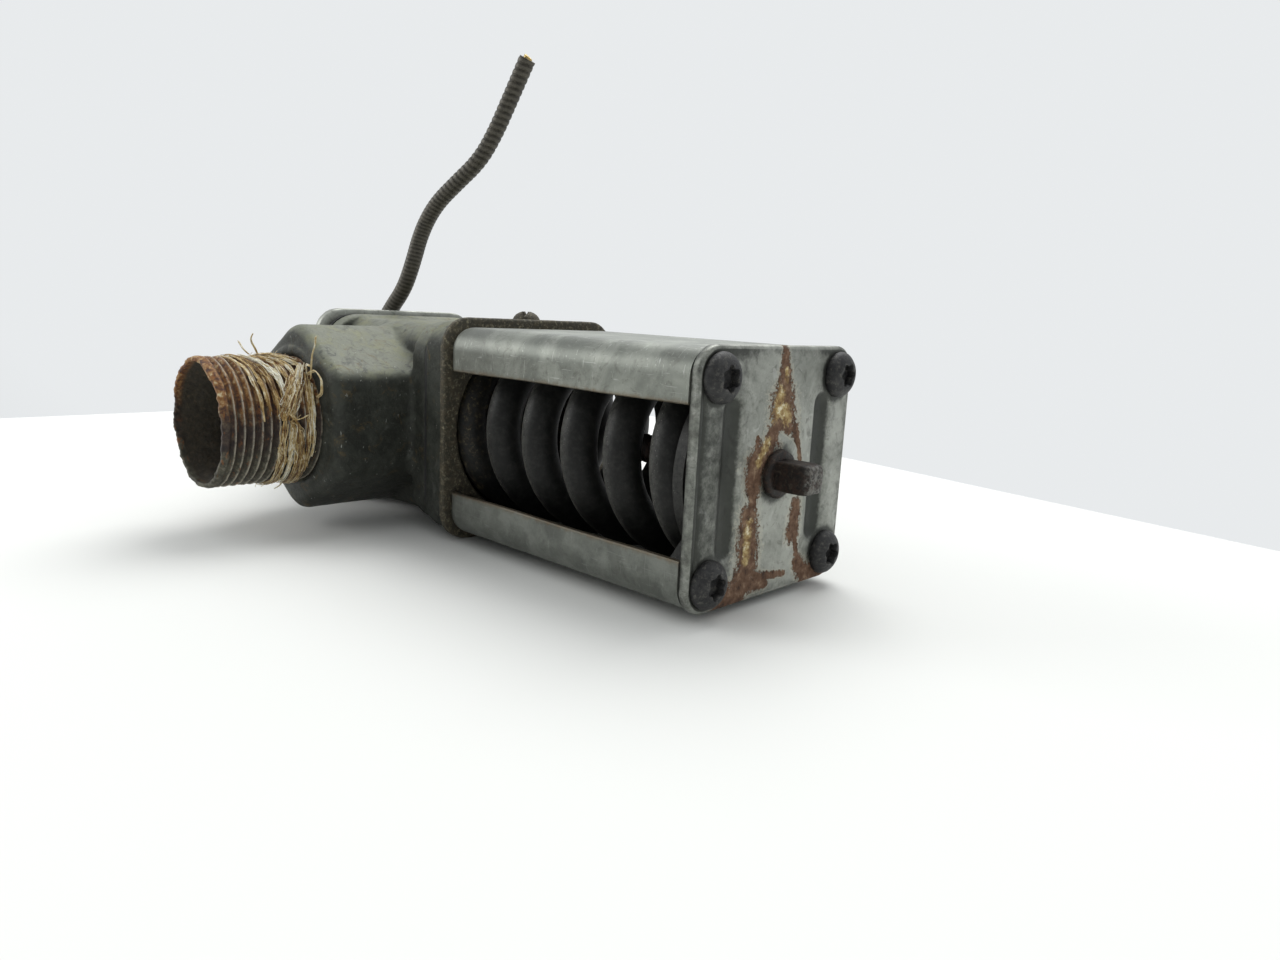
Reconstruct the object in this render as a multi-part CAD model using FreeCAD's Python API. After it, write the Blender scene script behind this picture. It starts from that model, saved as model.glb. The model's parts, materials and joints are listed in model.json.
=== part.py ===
import FreeCAD, Part
import math
import os

# Spring-loaded fluid regulating valve, lying on its side. All sizes are in millimetres.
# It is drawn about its own axes and moved to the row frame as each piece is saved:
# X is the axis of the range spring and the stem, 0 at the end plate's outer face and
# falling towards the bellows; Y is the axis of the two ports; Z is up.
V = FreeCAD.Vector

# Driving dimensions: places along the X axis
STEM_END = 10.4            # outer end of the adjusting square
PLATE_T = 2.4              # end plate
COVER_FACE = -84.0         # cover plate between the channels and the spring base
COVER_T = 2.0
BASE_FACE = COVER_FACE - COVER_T
BASE_END = -94.4           # spring base ring ends here
SEAL_T = 1.2               # rubber diaphragms, clamped at their edges
BODY_FACE = BASE_END - SEAL_T
PORT_X = -124.8            # axis of both ports
BODY_END = -151.8
CUP_RIM_T = 1.2
FLANGE_FACE = BODY_END - SEAL_T - CUP_RIM_T
FLANGE_T = 3.4
CUP_END = -190.0

# Cross-sections
PLATE_Y, PLATE_Z = 28.0, 27.8          # half sizes of the end plate
HOUSING_Y, HOUSING_Z = 28.3, 27.2      # half sizes over the two channels
CHANNEL_T = 1.6
WINDOW_Z = 15.9                        # half height of the open window
COVER_HALF = 29.7                      # cover plate and bellows flange, where the valve rests
BASE_HALF = 28.6
BODY_FLANGE_HALF, BODY_FLANGE_T = 28.0, 6.4
CORE_Y, CORE_Z = 24.0, 27.3
HEX_AF = 46.8                          # across the flats of the port hexagon
HEX_EDGE_R = 3.0
PORT_FACE = 50.8                       # end faces of the ports, from the X axis
SCREW_Y, SCREW_Z = 21.8, 21.3          # M6 corner screws
SCREW_R, SCREW_CLEAR = 3.0, 3.2
SCREW_ENGAGED = 5.9                    # of the corner screws in the body's end flanges
HEAD_R, HEAD_H = 5.25, 3.3

# Pipe nipple, 1 inch, with its taper thread drawn as two plain steps
PIPE_R, PIPE_END_R, PIPE_BORE_R = 16.7, 16.4, 13.3
HEMP_WIDTH = 6.5
NIPPLE_OUT, NIPPLE_IN = -75.0, -33.0
PORT_BORE_R = PIPE_R + 0.05
OUTLET_BORE_R = 15.6
PORT_DEPTH = 19.8

# Range spring and its guides
SPRING_OUT_R, WIRE_R, PITCH = 24.6, 4.4, 14.4
SPRING_TOP, SPRING_FOOT = -9.0, -89.7
GUIDE_R = 24.0
UPPER_GUIDE_T, LOWER_GUIDE_T = 2.8, 2.3
RECESS_R = 25.2                        # hole of the cover plate and the spring base, round the lower guide

# Slotted screw on top of the spring base
TAG_X, TAG_Y = (BASE_FACE + BASE_END) / 2, 1.8
TAG_R, TAG_DEPTH = 1.5, 3.0
TAG_HEAD_R, TAG_HEAD_H = 3.9, 3.4

# Adjusting screw and stem
SQUARE, SQUARE_FOOT = 6.5, 1.6
COLLAR_R, JOURNAL_R, RUNNING = 5.3, 4.0, 0.05
ADJUSTER_THREAD_R = 3.6
CLIP_X, CLIP_T, CLIP_R, CLIP_GROOVE_R = -3.9, 1.0, 6.5, 3.0
STEM_R = 4.0
STEM_TOP = SPRING_FOOT + 6.0           # the stem's end inside the lower guide's hub
WASHER_T, WASHER_R = 1.5, 12.0         # clamp the diaphragms to the stem
STEM_END_LOW = BODY_END - SEAL_T - WASHER_T

# Inside the body: a web with the seat in it, and a chamber on each side
SEAT_BORE_R, SEAT_OUT_R = 10.5, 13.0
CHAMBER_R, WAY_R = 17.0, 8.5
WEB_LEFT, WEB_RIGHT = PORT_X - 4.0, PORT_X + 4.0
SEAT_TOP = WEB_RIGHT + 1.5
DISC_T, DISC_R, HOLDER_T, HOLDER_R = 3.0, 13.0, 4.0, 14.5
DISC_WASHER_T, DISC_WASHER_R = 2.0, 8.5

# Bellows cup and capillary
CUP_R, CUP_T = 19.5, 1.5
BELLOWS_OUT_R, BELLOWS_IN_R = 16.5, 13.0
BELLOWS_FOOT, BELLOWS_END, BELLOWS_LID_T = -156.0, -183.0, 1.0
PLUNGER_R, PLUNGER_HEAD_R, PLUNGER_HEAD_T = 5.0, 11.0, 2.5
ARMOUR_R, TUBE_R, TUBE_BORE_R = 2.6, 1.4, 0.7
TUBE_PROUD = 0.8                       # of the cut end of the tube beyond its armour
FITTING_WAY, FITTING_LENGTH, FITTING_R = V(1, 0, 1).normalize(), 8.0, 4.5

# Row frame: the origin is the middle of the underside of the valve without its capillary
SHIFT = V(-(STEM_END + CUP_END) / 2, -(PORT_FACE + NIPPLE_OUT) / 2, COVER_HALF)

# Route of the armoured capillary, in the drawing's frame
CAPILLARY = [
    (-171.3, 2.4, 23.2), (-164.8, 2.4, 29.7), (-158.6, 4.0, 36.8), (-155.6, 5.4, 45.0),
    (-154.6, 8.2, 56.0), (-149.5, 10.2, 64.5), (-141.0, 12.6, 71.2), (-132.3, 15.0, 77.6),
    (-127.0, 17.0, 85.6), (-121.9, 19.1, 96.4), (-116.6, 20.9, 106.9),
]


def along_x(x, length, radius, y=0.0, z=0.0):
    """A cylinder from x towards +X."""
    return Part.makeCylinder(radius, length, V(x, y, z), V(1, 0, 0))


def along_y(y, length, radius, x=PORT_X, z=0.0):
    return Part.makeCylinder(radius, length, V(x, y, z), V(0, 1, 0))


def block(x0, x1, half_y, half_z, corner):
    """A rounded-corner block between two places on the X axis."""
    box = Part.makeBox(x1 - x0, 2 * half_y, 2 * half_z, V(x0, -half_y, -half_z))
    edges = [e for e in box.Edges if abs(e.tangentAt(e.FirstParameter).x) > 0.99]
    return box.makeFillet(corner, edges)


def at_corners(make):
    """The same solid at each of the four corner screws."""
    return [make(sy * SCREW_Y, sz * SCREW_Z) for sy in (-1, 1) for sz in (-1, 1)]


def drilled(shape, x0, x1, radius=SCREW_CLEAR):
    return shape.cut(at_corners(lambda y, z: along_x(x0 - 1, x1 - x0 + 2, radius, y, z)))


def end_plate():
    plate = block(-PLATE_T, 0, PLATE_Y, PLATE_Z, 6.0)
    groove_y, groove_half, groove_r, depth = 16.6, 14.0, 3.5, 0.9
    for side in (-1, 1):
        y = side * groove_y
        slot = Part.makeBox(depth, 2 * groove_r, 2 * groove_half, V(-depth, y - groove_r, -groove_half))
        ends = [along_x(-depth, depth, groove_r, y, z) for z in (-groove_half, groove_half)]
        plate = plate.cut(slot.fuse(ends))
    plate = plate.cut(along_x(-PLATE_T - 1, PLATE_T + 2, JOURNAL_R + RUNNING))
    return drilled(plate, -PLATE_T, 0)


def button_screw(head_x, length, towards, y, z):
    """An M6 button-head screw whose head's underside is at head_x; towards is the shank's way."""
    away = -towards
    head = Part.makeCylinder(HEAD_R, HEAD_H, V(head_x, y, z), V(away, 0, 0))
    rim = [e for e in head.Edges if abs(e.CenterOfMass.x - head_x) > HEAD_H - 0.01 and e.Closed]
    head = head.makeFillet(1.9, rim[:1])
    socket = Part.makeCylinder(1.9, 2.0, V(head_x + away * HEAD_H, y, z), V(towards, 0, 0))
    shank = Part.makeCylinder(SCREW_R, length, V(head_x, y, z), V(towards, 0, 0))
    return head.fuse(shank).cut(socket).removeSplitter()


def tie_screws():
    length = SCREW_ENGAGED - BODY_FACE
    return Part.Compound(at_corners(lambda y, z: button_screw(0, length, -1, y, z)))


def flange_screws():
    head_x = FLANGE_FACE - FLANGE_T
    length = BODY_END + SCREW_ENGAGED - head_x
    return Part.Compound(at_corners(lambda y, z: button_screw(head_x, length, 1, y, z)))


def channel(up):
    """A U-channel, open towards the spring; up is 1 for the top one."""
    outer = block(COVER_FACE, -PLATE_T, HOUSING_Y, HOUSING_Z, 6.0)
    inner = block(COVER_FACE - 1, -PLATE_T + 1, HOUSING_Y - CHANNEL_T, HOUSING_Z - CHANNEL_T, 4.4)
    keep = Part.makeBox(100, 80, 40, V(-95, -40, WINDOW_Z if up > 0 else -WINDOW_Z - 40))
    return outer.cut(inner).common(keep)


def cover_plate():
    plate = block(BASE_FACE, COVER_FACE, COVER_HALF, COVER_HALF, 8.0)
    plate = plate.cut(along_x(BASE_FACE - 1, COVER_T + 2, RECESS_R))
    return drilled(plate, BASE_FACE, COVER_FACE)


def spring_base():
    ring = block(BASE_END, BASE_FACE, BASE_HALF, BASE_HALF, 8.0)
    ring = ring.cut(along_x(BASE_END - 1, BASE_FACE - BASE_END + 2, RECESS_R))
    return drilled(ring, BASE_END, BASE_FACE).cut(tag_shank())


def tag_shank():
    return Part.makeCylinder(TAG_R, TAG_DEPTH, V(TAG_X, TAG_Y, BASE_HALF - TAG_DEPTH), V(0, 0, 1))


def tag_screw():
    """The slotted round-head screw on top of the spring base."""
    head = Part.makeCylinder(TAG_HEAD_R, TAG_HEAD_H, V(TAG_X, TAG_Y, BASE_HALF), V(0, 0, 1))
    rim = [e for e in head.Edges if e.Closed and e.CenterOfMass.z > BASE_HALF + 1]
    head = head.makeFillet(2.2, rim[:1])
    wide, deep, turned = 1.2, 1.4, 35
    slot = Part.makeBox(wide, 12, deep, V(TAG_X - wide / 2, TAG_Y - 6, BASE_HALF + TAG_HEAD_H - deep))
    slot.rotate(V(TAG_X, TAG_Y, 0), V(0, 0, 1), turned)
    return head.fuse(tag_shank()).cut(slot)


def diaphragm(x):
    disc = block(x, x + SEAL_T, BODY_FLANGE_HALF, BODY_FLANGE_HALF, 10.0)
    disc = disc.cut(along_x(x - 1, SEAL_T + 2, STEM_R + RUNNING))
    return drilled(disc, x, x + SEAL_T)


def hex_prism():
    """The hexagonal port boss, with a corner up and its long edges rounded."""
    across = HEX_AF / math.sqrt(3)
    points = [V(PORT_X + across * math.sin(math.pi / 3 * i), -PORT_FACE, across * math.cos(math.pi / 3 * i))
              for i in range(7)]
    prism = Part.Face(Part.makePolygon(points)).extrude(V(0, 2 * PORT_FACE, 0))
    edges = [e for e in prism.Edges if abs(e.tangentAt(e.FirstParameter).y) > 0.99]
    return prism.makeFillet(HEX_EDGE_R, edges)


def valve_body():
    core = block(BODY_END, BODY_FACE, CORE_Y, CORE_Z, 8.0)
    ends = [block(x, x + BODY_FLANGE_T, BODY_FLANGE_HALF, BODY_FLANGE_HALF, 10.0)
            for x in (BODY_END, BODY_FACE - BODY_FLANGE_T)]
    body = core.fuse(ends + [hex_prism()])
    upper = along_x(WEB_RIGHT, BODY_FACE - WEB_RIGHT + 1, CHAMBER_R)
    lower = along_x(BODY_END - 1, WEB_LEFT - BODY_END + 1, CHAMBER_R)
    seat_hole = along_x(WEB_LEFT - 1, WEB_RIGHT - WEB_LEFT + 2, SEAT_OUT_R)
    inlet = along_y(-PORT_FACE - 1, PORT_DEPTH + 1, PORT_BORE_R)
    outlet = along_y(PORT_FACE - PORT_DEPTH, PORT_DEPTH + 1, OUTLET_BORE_R)
    beside_web = 9.0
    inlet_way = along_y(-PORT_FACE + PORT_DEPTH - 1, PORT_FACE - PORT_DEPTH + 1, WAY_R, x=WEB_LEFT - beside_web)
    outlet_way = along_y(0, PORT_FACE - PORT_DEPTH + 1, WAY_R, x=WEB_RIGHT + beside_web)
    tapped = SCREW_ENGAGED + 0.2
    taps = at_corners(lambda y, z: along_x(BODY_FACE - tapped, tapped + 1, SCREW_R + RUNNING, y, z))
    taps += at_corners(lambda y, z: along_x(BODY_END - 1, tapped + 1, SCREW_R + RUNNING, y, z))
    return body.cut([upper, lower, seat_hole, inlet, outlet, inlet_way, outlet_way] + taps)


def valve_seat():
    ring = along_x(WEB_LEFT, SEAT_TOP - WEB_LEFT, SEAT_OUT_R)
    return ring.cut(along_x(WEB_LEFT - 1, SEAT_TOP - WEB_LEFT + 2, SEAT_BORE_R))


def pierced(x, length, radius):
    """A round piece on the stem."""
    return along_x(x, length, radius).cut(along_x(x - 1, length + 2, STEM_R))


def disc_holder():
    """The cup that holds the valve disc, with the disc standing a little proud of its lip."""
    proud = 0.6
    cup = along_x(SEAT_TOP + proud, DISC_T + HOLDER_T - proud, HOLDER_R)
    cup = cup.cut(along_x(SEAT_TOP, DISC_T, DISC_R))
    return cup.cut(along_x(SEAT_TOP - 1, DISC_T + HOLDER_T + 2, STEM_R))


def valve_disc():
    return pierced(SEAT_TOP, DISC_T, DISC_R)


def disc_washer():
    return pierced(SEAT_TOP - DISC_WASHER_T, DISC_WASHER_T, DISC_WASHER_R)


def stem_washers():
    """The four washers that clamp the two diaphragms to the stem."""
    places = (BASE_END, BODY_FACE - WASHER_T, BODY_END, STEM_END_LOW)
    return Part.Compound([pierced(x, WASHER_T, WASHER_R) for x in places])


def valve_stem():
    return along_x(STEM_END_LOW, STEM_TOP - STEM_END_LOW, STEM_R)


def lower_spring_guide():
    """The guide under the spring's foot, with a hub that centres the first coil and takes the stem."""
    hub_length = 9.0
    disc = along_x(SPRING_FOOT - LOWER_GUIDE_T, LOWER_GUIDE_T, GUIDE_R)
    hub = along_x(SPRING_FOOT, hub_length, SPRING_OUT_R - 2 * WIRE_R - 0.4)
    hollow = along_x(STEM_TOP, hub_length, 12.0)
    underside = SPRING_FOOT - LOWER_GUIDE_T - 1
    stem_hole = along_x(underside, STEM_TOP - underside + 0.1, STEM_R)
    return disc.fuse(hub).cut([hollow, stem_hole])


def bellows_plunger():
    """The rod that passes the bellows' push on to the stem."""
    foot = BELLOWS_END + BELLOWS_LID_T
    return along_x(foot, STEM_END_LOW - foot, PLUNGER_R).fuse(along_x(foot, PLUNGER_HEAD_T, PLUNGER_HEAD_R))


def bellows():
    """A corrugated metal bellows, open towards the body and closed at its far end."""
    wall, waves, n = 0.4, 7, 12
    middle, swing = (BELLOWS_OUT_R + BELLOWS_IN_R) / 2, (BELLOWS_OUT_R - BELLOWS_IN_R) / 2
    foot = BELLOWS_END + BELLOWS_LID_T
    length = BELLOWS_FOOT - foot

    def wave(offset):
        points = []
        for i in range(waves * n + 1):
            t = i / (waves * n)
            r = middle + swing * math.cos(2 * math.pi * waves * t) + offset
            points.append(V(foot + length * t, r, 0))
        curve = Part.BSplineCurve()
        curve.interpolate(points)
        return curve.toShape(), points

    outer, a = wave(wall / 2)
    inner, b = wave(-wall / 2)
    profile = Part.Wire([outer, Part.makeLine(a[-1], b[-1]), inner, Part.makeLine(b[0], a[0])])
    tube = Part.Face(profile).revolve(V(0, 0, 0), V(1, 0, 0), 360)
    return Part.Solid(tube) if tube.ShapeType == "Shell" else tube


def bellows_ring():
    """The ring that the bellows' open end is sealed to, inside the mouth of the cup."""
    ring = along_x(BELLOWS_FOOT, 1.5, CUP_R - CUP_T)
    return ring.cut(along_x(BELLOWS_FOOT - 1, 4, 12.6))


def bellows_end():
    """The disc that closes the bellows."""
    return along_x(BELLOWS_END, BELLOWS_LID_T, BELLOWS_OUT_R)


def fitting_start():
    return V(*CAPILLARY[0]) - FITTING_WAY * FITTING_LENGTH


def round_ended(x, length, radius, corner):
    """A cylinder from x towards +X with its end at x rounded."""
    cup = along_x(x, length, radius)
    edge = [e for e in cup.Edges if e.Closed and e.CenterOfMass.x < x + 0.01]
    return cup.makeFillet(corner, edge[:1])


def bellows_cup():
    """The drawn cup round the bellows, with its rim clamped under the flange."""
    corner, rim_r = 6.0, 26.0
    cup = round_ended(CUP_END, FLANGE_FACE - CUP_END, CUP_R, corner)
    inside = round_ended(CUP_END + CUP_T, FLANGE_FACE - CUP_END, CUP_R - CUP_T, corner - CUP_T)
    rim = along_x(FLANGE_FACE, CUP_RIM_T, rim_r)
    hole = Part.makeCylinder(FITTING_R, FITTING_LENGTH, fitting_start(), FITTING_WAY)
    return cup.fuse(rim).cut([inside, hole])


def bellows_flange():
    x0 = FLANGE_FACE - FLANGE_T
    plate = block(x0, FLANGE_FACE, BODY_FLANGE_HALF + 0.6, COVER_HALF, 8.0)
    plate = plate.cut(along_x(x0 - 1, FLANGE_T + 2, CUP_R + 0.1))
    return drilled(plate, x0, FLANGE_FACE)


def capillary_fitting():
    start = fitting_start()
    boss = Part.makeCylinder(FITTING_R, FITTING_LENGTH, start, FITTING_WAY)
    inside = along_x(CUP_END + CUP_T, 40, CUP_R - CUP_T)
    bore = Part.makeCylinder(TUBE_R, FITTING_LENGTH + 2, start - FITTING_WAY, FITTING_WAY)
    return boss.cut([inside, bore])


def pipe_nipple():
    step = -PORT_FACE - HEMP_WIDTH
    pipe = along_y(step, NIPPLE_IN - step, PIPE_R).fuse(along_y(NIPPLE_OUT, step - NIPPLE_OUT, PIPE_END_R))
    return pipe.cut(along_y(NIPPLE_OUT - 1, NIPPLE_IN - NIPPLE_OUT + 2, PIPE_BORE_R))


def sealing_hemp():
    """The band of sealing fibre wound on the thread where it enters the port."""
    band = along_y(-PORT_FACE - HEMP_WIDTH, HEMP_WIDTH - 0.1, PIPE_R + 0.9)
    return band.cut(along_y(-PORT_FACE - HEMP_WIDTH - 1, HEMP_WIDTH + 2, PIPE_R))


def range_spring():
    """A round-wire compression spring with its ends ground flat."""
    mean_r = SPRING_OUT_R - WIRE_R
    length = SPRING_TOP - SPRING_FOOT
    helix = Part.makeHelix(PITCH, length, mean_r)
    wire = Part.Wire(Part.makeCircle(WIRE_R, V(mean_r, 0, 0), V(0, 1, 0)))
    coil = Part.Wire(helix.Edges).makePipeShell([wire], True, True)
    ground = Part.makeCylinder(SPRING_OUT_R + 1, length, V(0, 0, 0), V(0, 0, 1))
    coil = coil.common(ground)
    coil.rotate(V(0, 0, 0), V(0, 1, 0), 90)
    coil.rotate(V(0, 0, 0), V(1, 0, 0), 60)
    coil.translate(V(SPRING_FOOT, 0, 0))
    return coil


def adjusting_screw():
    """The screw that sets the spring: a square end, a journal in the end plate and a long thread."""
    square = square_bar(STEM_END - SQUARE_FOOT)
    square = square.makeChamfer(0.6, [e for e in square.Edges if e.CenterOfMass.x > STEM_END - 0.01])
    journal_end, thread_end = CLIP_X - 0.5, -44.0
    journal = along_x(journal_end, SQUARE_FOOT - journal_end, JOURNAL_R)
    thread = along_x(thread_end, journal_end - thread_end, ADJUSTER_THREAD_R)
    groove = along_x(CLIP_X, CLIP_T, JOURNAL_R).cut(along_x(CLIP_X - 1, CLIP_T + 2, CLIP_GROOVE_R))
    return square.fuse([journal, thread]).cut(groove).removeSplitter()


def square_bar(length):
    return Part.makeBox(length, SQUARE, SQUARE, V(SQUARE_FOOT, -SQUARE / 2, -SQUARE / 2))


def thrust_collar():
    """The round collar that bears on the outside of the end plate."""
    gap, thick = 0.3, 1.6
    return along_x(gap, thick, COLLAR_R).cut([along_x(-1, SQUARE_FOOT + 1, JOURNAL_R), square_bar(thick)])


def retaining_clip():
    """The open clip in the journal's groove, behind the end plate."""
    clip = along_x(CLIP_X, CLIP_T, CLIP_R).cut(along_x(CLIP_X - 1, CLIP_T + 2, CLIP_GROOVE_R))
    mouth = 3.0
    return clip.cut(Part.makeBox(CLIP_T + 2, mouth, CLIP_R + 1, V(CLIP_X - 1, -mouth / 2, 2.0)))


def upper_spring_guide():
    """The guide that the adjusting screw moves; two ears ride on opposite tie screws so it can't turn."""
    hub_length, hub_r, ear_r, arm_width = 12.0, 9.0, 4.0, 8.0
    disc = along_x(SPRING_TOP, UPPER_GUIDE_T, GUIDE_R)
    hub = along_x(SPRING_TOP - hub_length, hub_length, hub_r)
    ears = [along_x(SPRING_TOP, UPPER_GUIDE_T, ear_r, s * SCREW_Y, s * SCREW_Z) for s in (-1, 1)]
    arms = []
    for side in (-1, 1):
        reach = math.hypot(SCREW_Y, SCREW_Z)
        arm = Part.makeBox(UPPER_GUIDE_T, arm_width, reach, V(SPRING_TOP, -arm_width / 2, 0))
        arm.rotate(V(0, 0, 0), V(1, 0, 0), -math.degrees(math.atan2(side * SCREW_Y, side * SCREW_Z)))
        arms.append(arm)
    guide = disc.fuse([hub] + ears + arms)
    holes = [along_x(SPRING_TOP - 1, 8, SCREW_R + 0.3, s * SCREW_Y, s * SCREW_Z) for s in (-1, 1)]
    bore = along_x(SPRING_TOP - hub_length - 1, hub_length + UPPER_GUIDE_T + 2, ADJUSTER_THREAD_R + RUNNING)
    return guide.cut(holes + [bore])


def route_path(points):
    """Straight runs joined by tangent arcs; returns the wire, its length and the arcs' radii."""
    p = [V(*q) for q in points]
    edges, radii, start = [], [], p[0]
    for a, b, c in zip(p, p[1:], p[2:]):
        one, two = (b - a).normalize(), (c - b).normalize()
        turn = one.getAngle(two)
        cut = 0.45 * min((b - a).Length, (c - b).Length)
        radius = cut / math.tan(turn / 2)
        into, out = b - one * cut, b + two * cut
        middle = (into + out) / 2
        top = b + (middle - b).normalize() * (math.hypot(radius, cut) - radius)
        edges += [Part.LineSegment(start, into).toShape(), Part.Arc(into, top, out).toShape()]
        radii.append(radius)
        start = out
    edges.append(Part.LineSegment(start, p[-1]).toShape())
    wire = Part.Wire(edges)
    return wire, wire.Length, radii


def swept(points, radius):
    wire, length, _ = route_path(points)
    first, way = V(*points[0]), V(*points[1]) - V(*points[0])
    ring = Part.Wire(Part.makeCircle(radius, first, way))
    tube = wire.makePipeShell([ring], True, False)
    print("tube radius %.2f: volume %.1f, section times length %.1f"
          % (radius, tube.Volume, math.pi * radius ** 2 * length))
    return tube


def capillary_armour():
    _, length, radii = route_path(CAPILLARY)
    print("capillary length %.1f, arc radii %s" % (length, [round(r, 1) for r in radii]))
    return swept(CAPILLARY, ARMOUR_R).cut(swept(CAPILLARY, TUBE_R))


def capillary_tube():
    """The thin tube inside the armour, with its open cut end standing a little proud."""
    last, before = V(*CAPILLARY[-1]), V(*CAPILLARY[-2])
    end = last + (last - before).normalize() * TUBE_PROUD
    points = CAPILLARY[:-1] + [tuple(end)]
    return swept(points, TUBE_R).cut(swept(points, TUBE_BORE_R))


NODES = {
    "end_plate": end_plate,
    "tie_screws": tie_screws,
    "channel_top": lambda: channel(1),
    "channel_bottom": lambda: channel(-1),
    "cover_plate": cover_plate,
    "spring_base": spring_base,
    "tag_screw": tag_screw,
    "upper_diaphragm": lambda: diaphragm(BODY_FACE),
    "valve_body": valve_body,
    "valve_seat": valve_seat,
    "lower_diaphragm": lambda: diaphragm(BODY_END - SEAL_T),
    "bellows_cup": bellows_cup,
    "bellows_flange": bellows_flange,
    "flange_screws": flange_screws,
    "bellows": bellows,
    "bellows_ring": bellows_ring,
    "bellows_end": bellows_end,
    "bellows_plunger": bellows_plunger,
    "capillary_fitting": capillary_fitting,
    "capillary_armour": capillary_armour,
    "capillary_tube": capillary_tube,
    "pipe_nipple": pipe_nipple,
    "sealing_hemp": sealing_hemp,
    "range_spring": range_spring,
    "adjusting_screw": adjusting_screw,
    "thrust_collar": thrust_collar,
    "retaining_clip": retaining_clip,
    "upper_spring_guide": upper_spring_guide,
    "lower_spring_guide": lower_spring_guide,
    "valve_stem": valve_stem,
    "disc_holder": disc_holder,
    "valve_disc": valve_disc,
    "disc_washer": disc_washer,
    "stem_washers": stem_washers,
}

os.makedirs("parts", exist_ok=True)
for name, make in NODES.items():
    shape = make()
    shape.translate(SHIFT)
    print("%-20s solids %d valid %s volume %.1f" % (name, len(shape.Solids), shape.isValid(), shape.Volume))
    shape.exportStep("parts/%s.step" % name)
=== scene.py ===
import json
import math
import random

import bmesh
import bpy
import numpy as np
from mathutils import Matrix, Vector, noise


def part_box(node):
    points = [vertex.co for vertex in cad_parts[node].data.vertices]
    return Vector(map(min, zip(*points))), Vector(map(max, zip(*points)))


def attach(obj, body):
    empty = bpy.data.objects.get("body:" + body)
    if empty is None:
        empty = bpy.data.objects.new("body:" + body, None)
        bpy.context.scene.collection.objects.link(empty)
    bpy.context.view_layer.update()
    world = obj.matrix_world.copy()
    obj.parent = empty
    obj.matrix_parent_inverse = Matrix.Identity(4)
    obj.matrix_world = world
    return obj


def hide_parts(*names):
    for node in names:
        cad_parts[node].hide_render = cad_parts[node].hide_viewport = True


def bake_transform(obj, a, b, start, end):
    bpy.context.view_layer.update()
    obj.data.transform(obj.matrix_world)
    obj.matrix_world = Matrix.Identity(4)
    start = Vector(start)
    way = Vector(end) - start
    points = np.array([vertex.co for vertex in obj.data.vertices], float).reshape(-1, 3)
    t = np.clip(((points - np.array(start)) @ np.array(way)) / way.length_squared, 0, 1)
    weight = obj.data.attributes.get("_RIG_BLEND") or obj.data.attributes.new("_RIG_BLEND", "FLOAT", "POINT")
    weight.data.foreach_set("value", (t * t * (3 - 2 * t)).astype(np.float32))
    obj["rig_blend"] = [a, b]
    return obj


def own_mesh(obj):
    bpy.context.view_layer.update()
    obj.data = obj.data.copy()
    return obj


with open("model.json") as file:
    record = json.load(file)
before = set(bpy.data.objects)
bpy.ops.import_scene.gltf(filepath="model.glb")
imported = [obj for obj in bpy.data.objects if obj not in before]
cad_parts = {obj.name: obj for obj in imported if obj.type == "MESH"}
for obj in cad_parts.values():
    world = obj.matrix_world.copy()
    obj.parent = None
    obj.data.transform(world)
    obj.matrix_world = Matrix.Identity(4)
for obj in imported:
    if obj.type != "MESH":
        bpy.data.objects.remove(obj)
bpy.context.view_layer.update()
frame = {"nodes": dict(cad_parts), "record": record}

# Sizes below are in millimetres on the valve's own axes, as in the CAD drawing: X is the spring's axis,
# 0 at the end plate's outer face; Y is the axis of the ports; Z is up. ORIGIN is that point in the row frame.
MM = 0.001
plate_box, screw_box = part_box("end_plate"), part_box("adjusting_screw")
ORIGIN = np.array([plate_box[1].x, (screw_box[0].y + screw_box[1].y) / 2, (screw_box[0].z + screw_box[1].z) / 2])
FLOOR_Z = -ORIGIN[2] / MM

PLATE_Y, PLATE_Z, PLATE_T, PLATE_CORNER = 28.0, 27.8, 2.4, 6.0
HOUSING_Y, HOUSING_Z, CHANNEL_T, WINDOW_Z = 28.3, 27.2, 1.6, 15.9
COVER_FACE, FLANGE_HEAD_X = -84.0, -157.6
SCREW_Y, SCREW_Z, HEAD_R = 21.8, 21.3, 5.25
PORT_X, PORT_FACE, HEX_AF = -124.8, 50.8, 46.8
BODY_FACE, BODY_END, BODY_FLANGE_T, OUTLET_DEPTH = -95.6, -151.8, 6.4, 19.8
NIPPLE_OUT, NIPPLE_IN, NIPPLE_BORE, THREAD_PITCH = -75.0, -33.0, 13.4, 25.4 / 11.5
MOUTH = NIPPLE_OUT - 1.3          # the ragged rim stands a little past the plain solid
SPRING_OUT_R, WIRE_R, PITCH, SPRING_TOP, SPRING_FOOT = 24.6, 4.4, 14.4, -9.0, -89.7
SPRING_TURNS, SPRING_CLOSED = 5.0, 0.45          # turns of even pitch, and of each end that is closed down
NUT_TRAVEL, SCREW_PITCH = 20.0, 2.0
ARMOUR_R = 2.6
CORNERS = [(-1, -1), (-1, 1), (1, -1), (1, 1)]


# ---------------------------------------------------------------- geometry helpers

def smoothstep(lo, hi, value):
    t = np.clip((np.asarray(value, float) - lo) / (hi - lo), 0, 1)
    return t * t * (3 - 2 * t)


def ripple(points, scale, seed=0.0):
    """Smooth noise from -1 to 1 at each point; scale is waves per millimetre."""
    return np.array([noise.noise(Vector((p[0] * scale + seed, p[1] * scale, p[2] * scale))) for p in points])


def grid_faces(rows, cols):
    """Faces between rings of cols points."""
    return [(r * cols + c, r * cols + (c + 1) % cols, (r + 1) * cols + (c + 1) % cols, (r + 1) * cols + c)
            for r in range(rows - 1) for c in range(cols)]


def coat(obj, slot):
    obj.data.materials.clear()
    obj.data.materials.append(FINISHES[slot])


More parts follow.
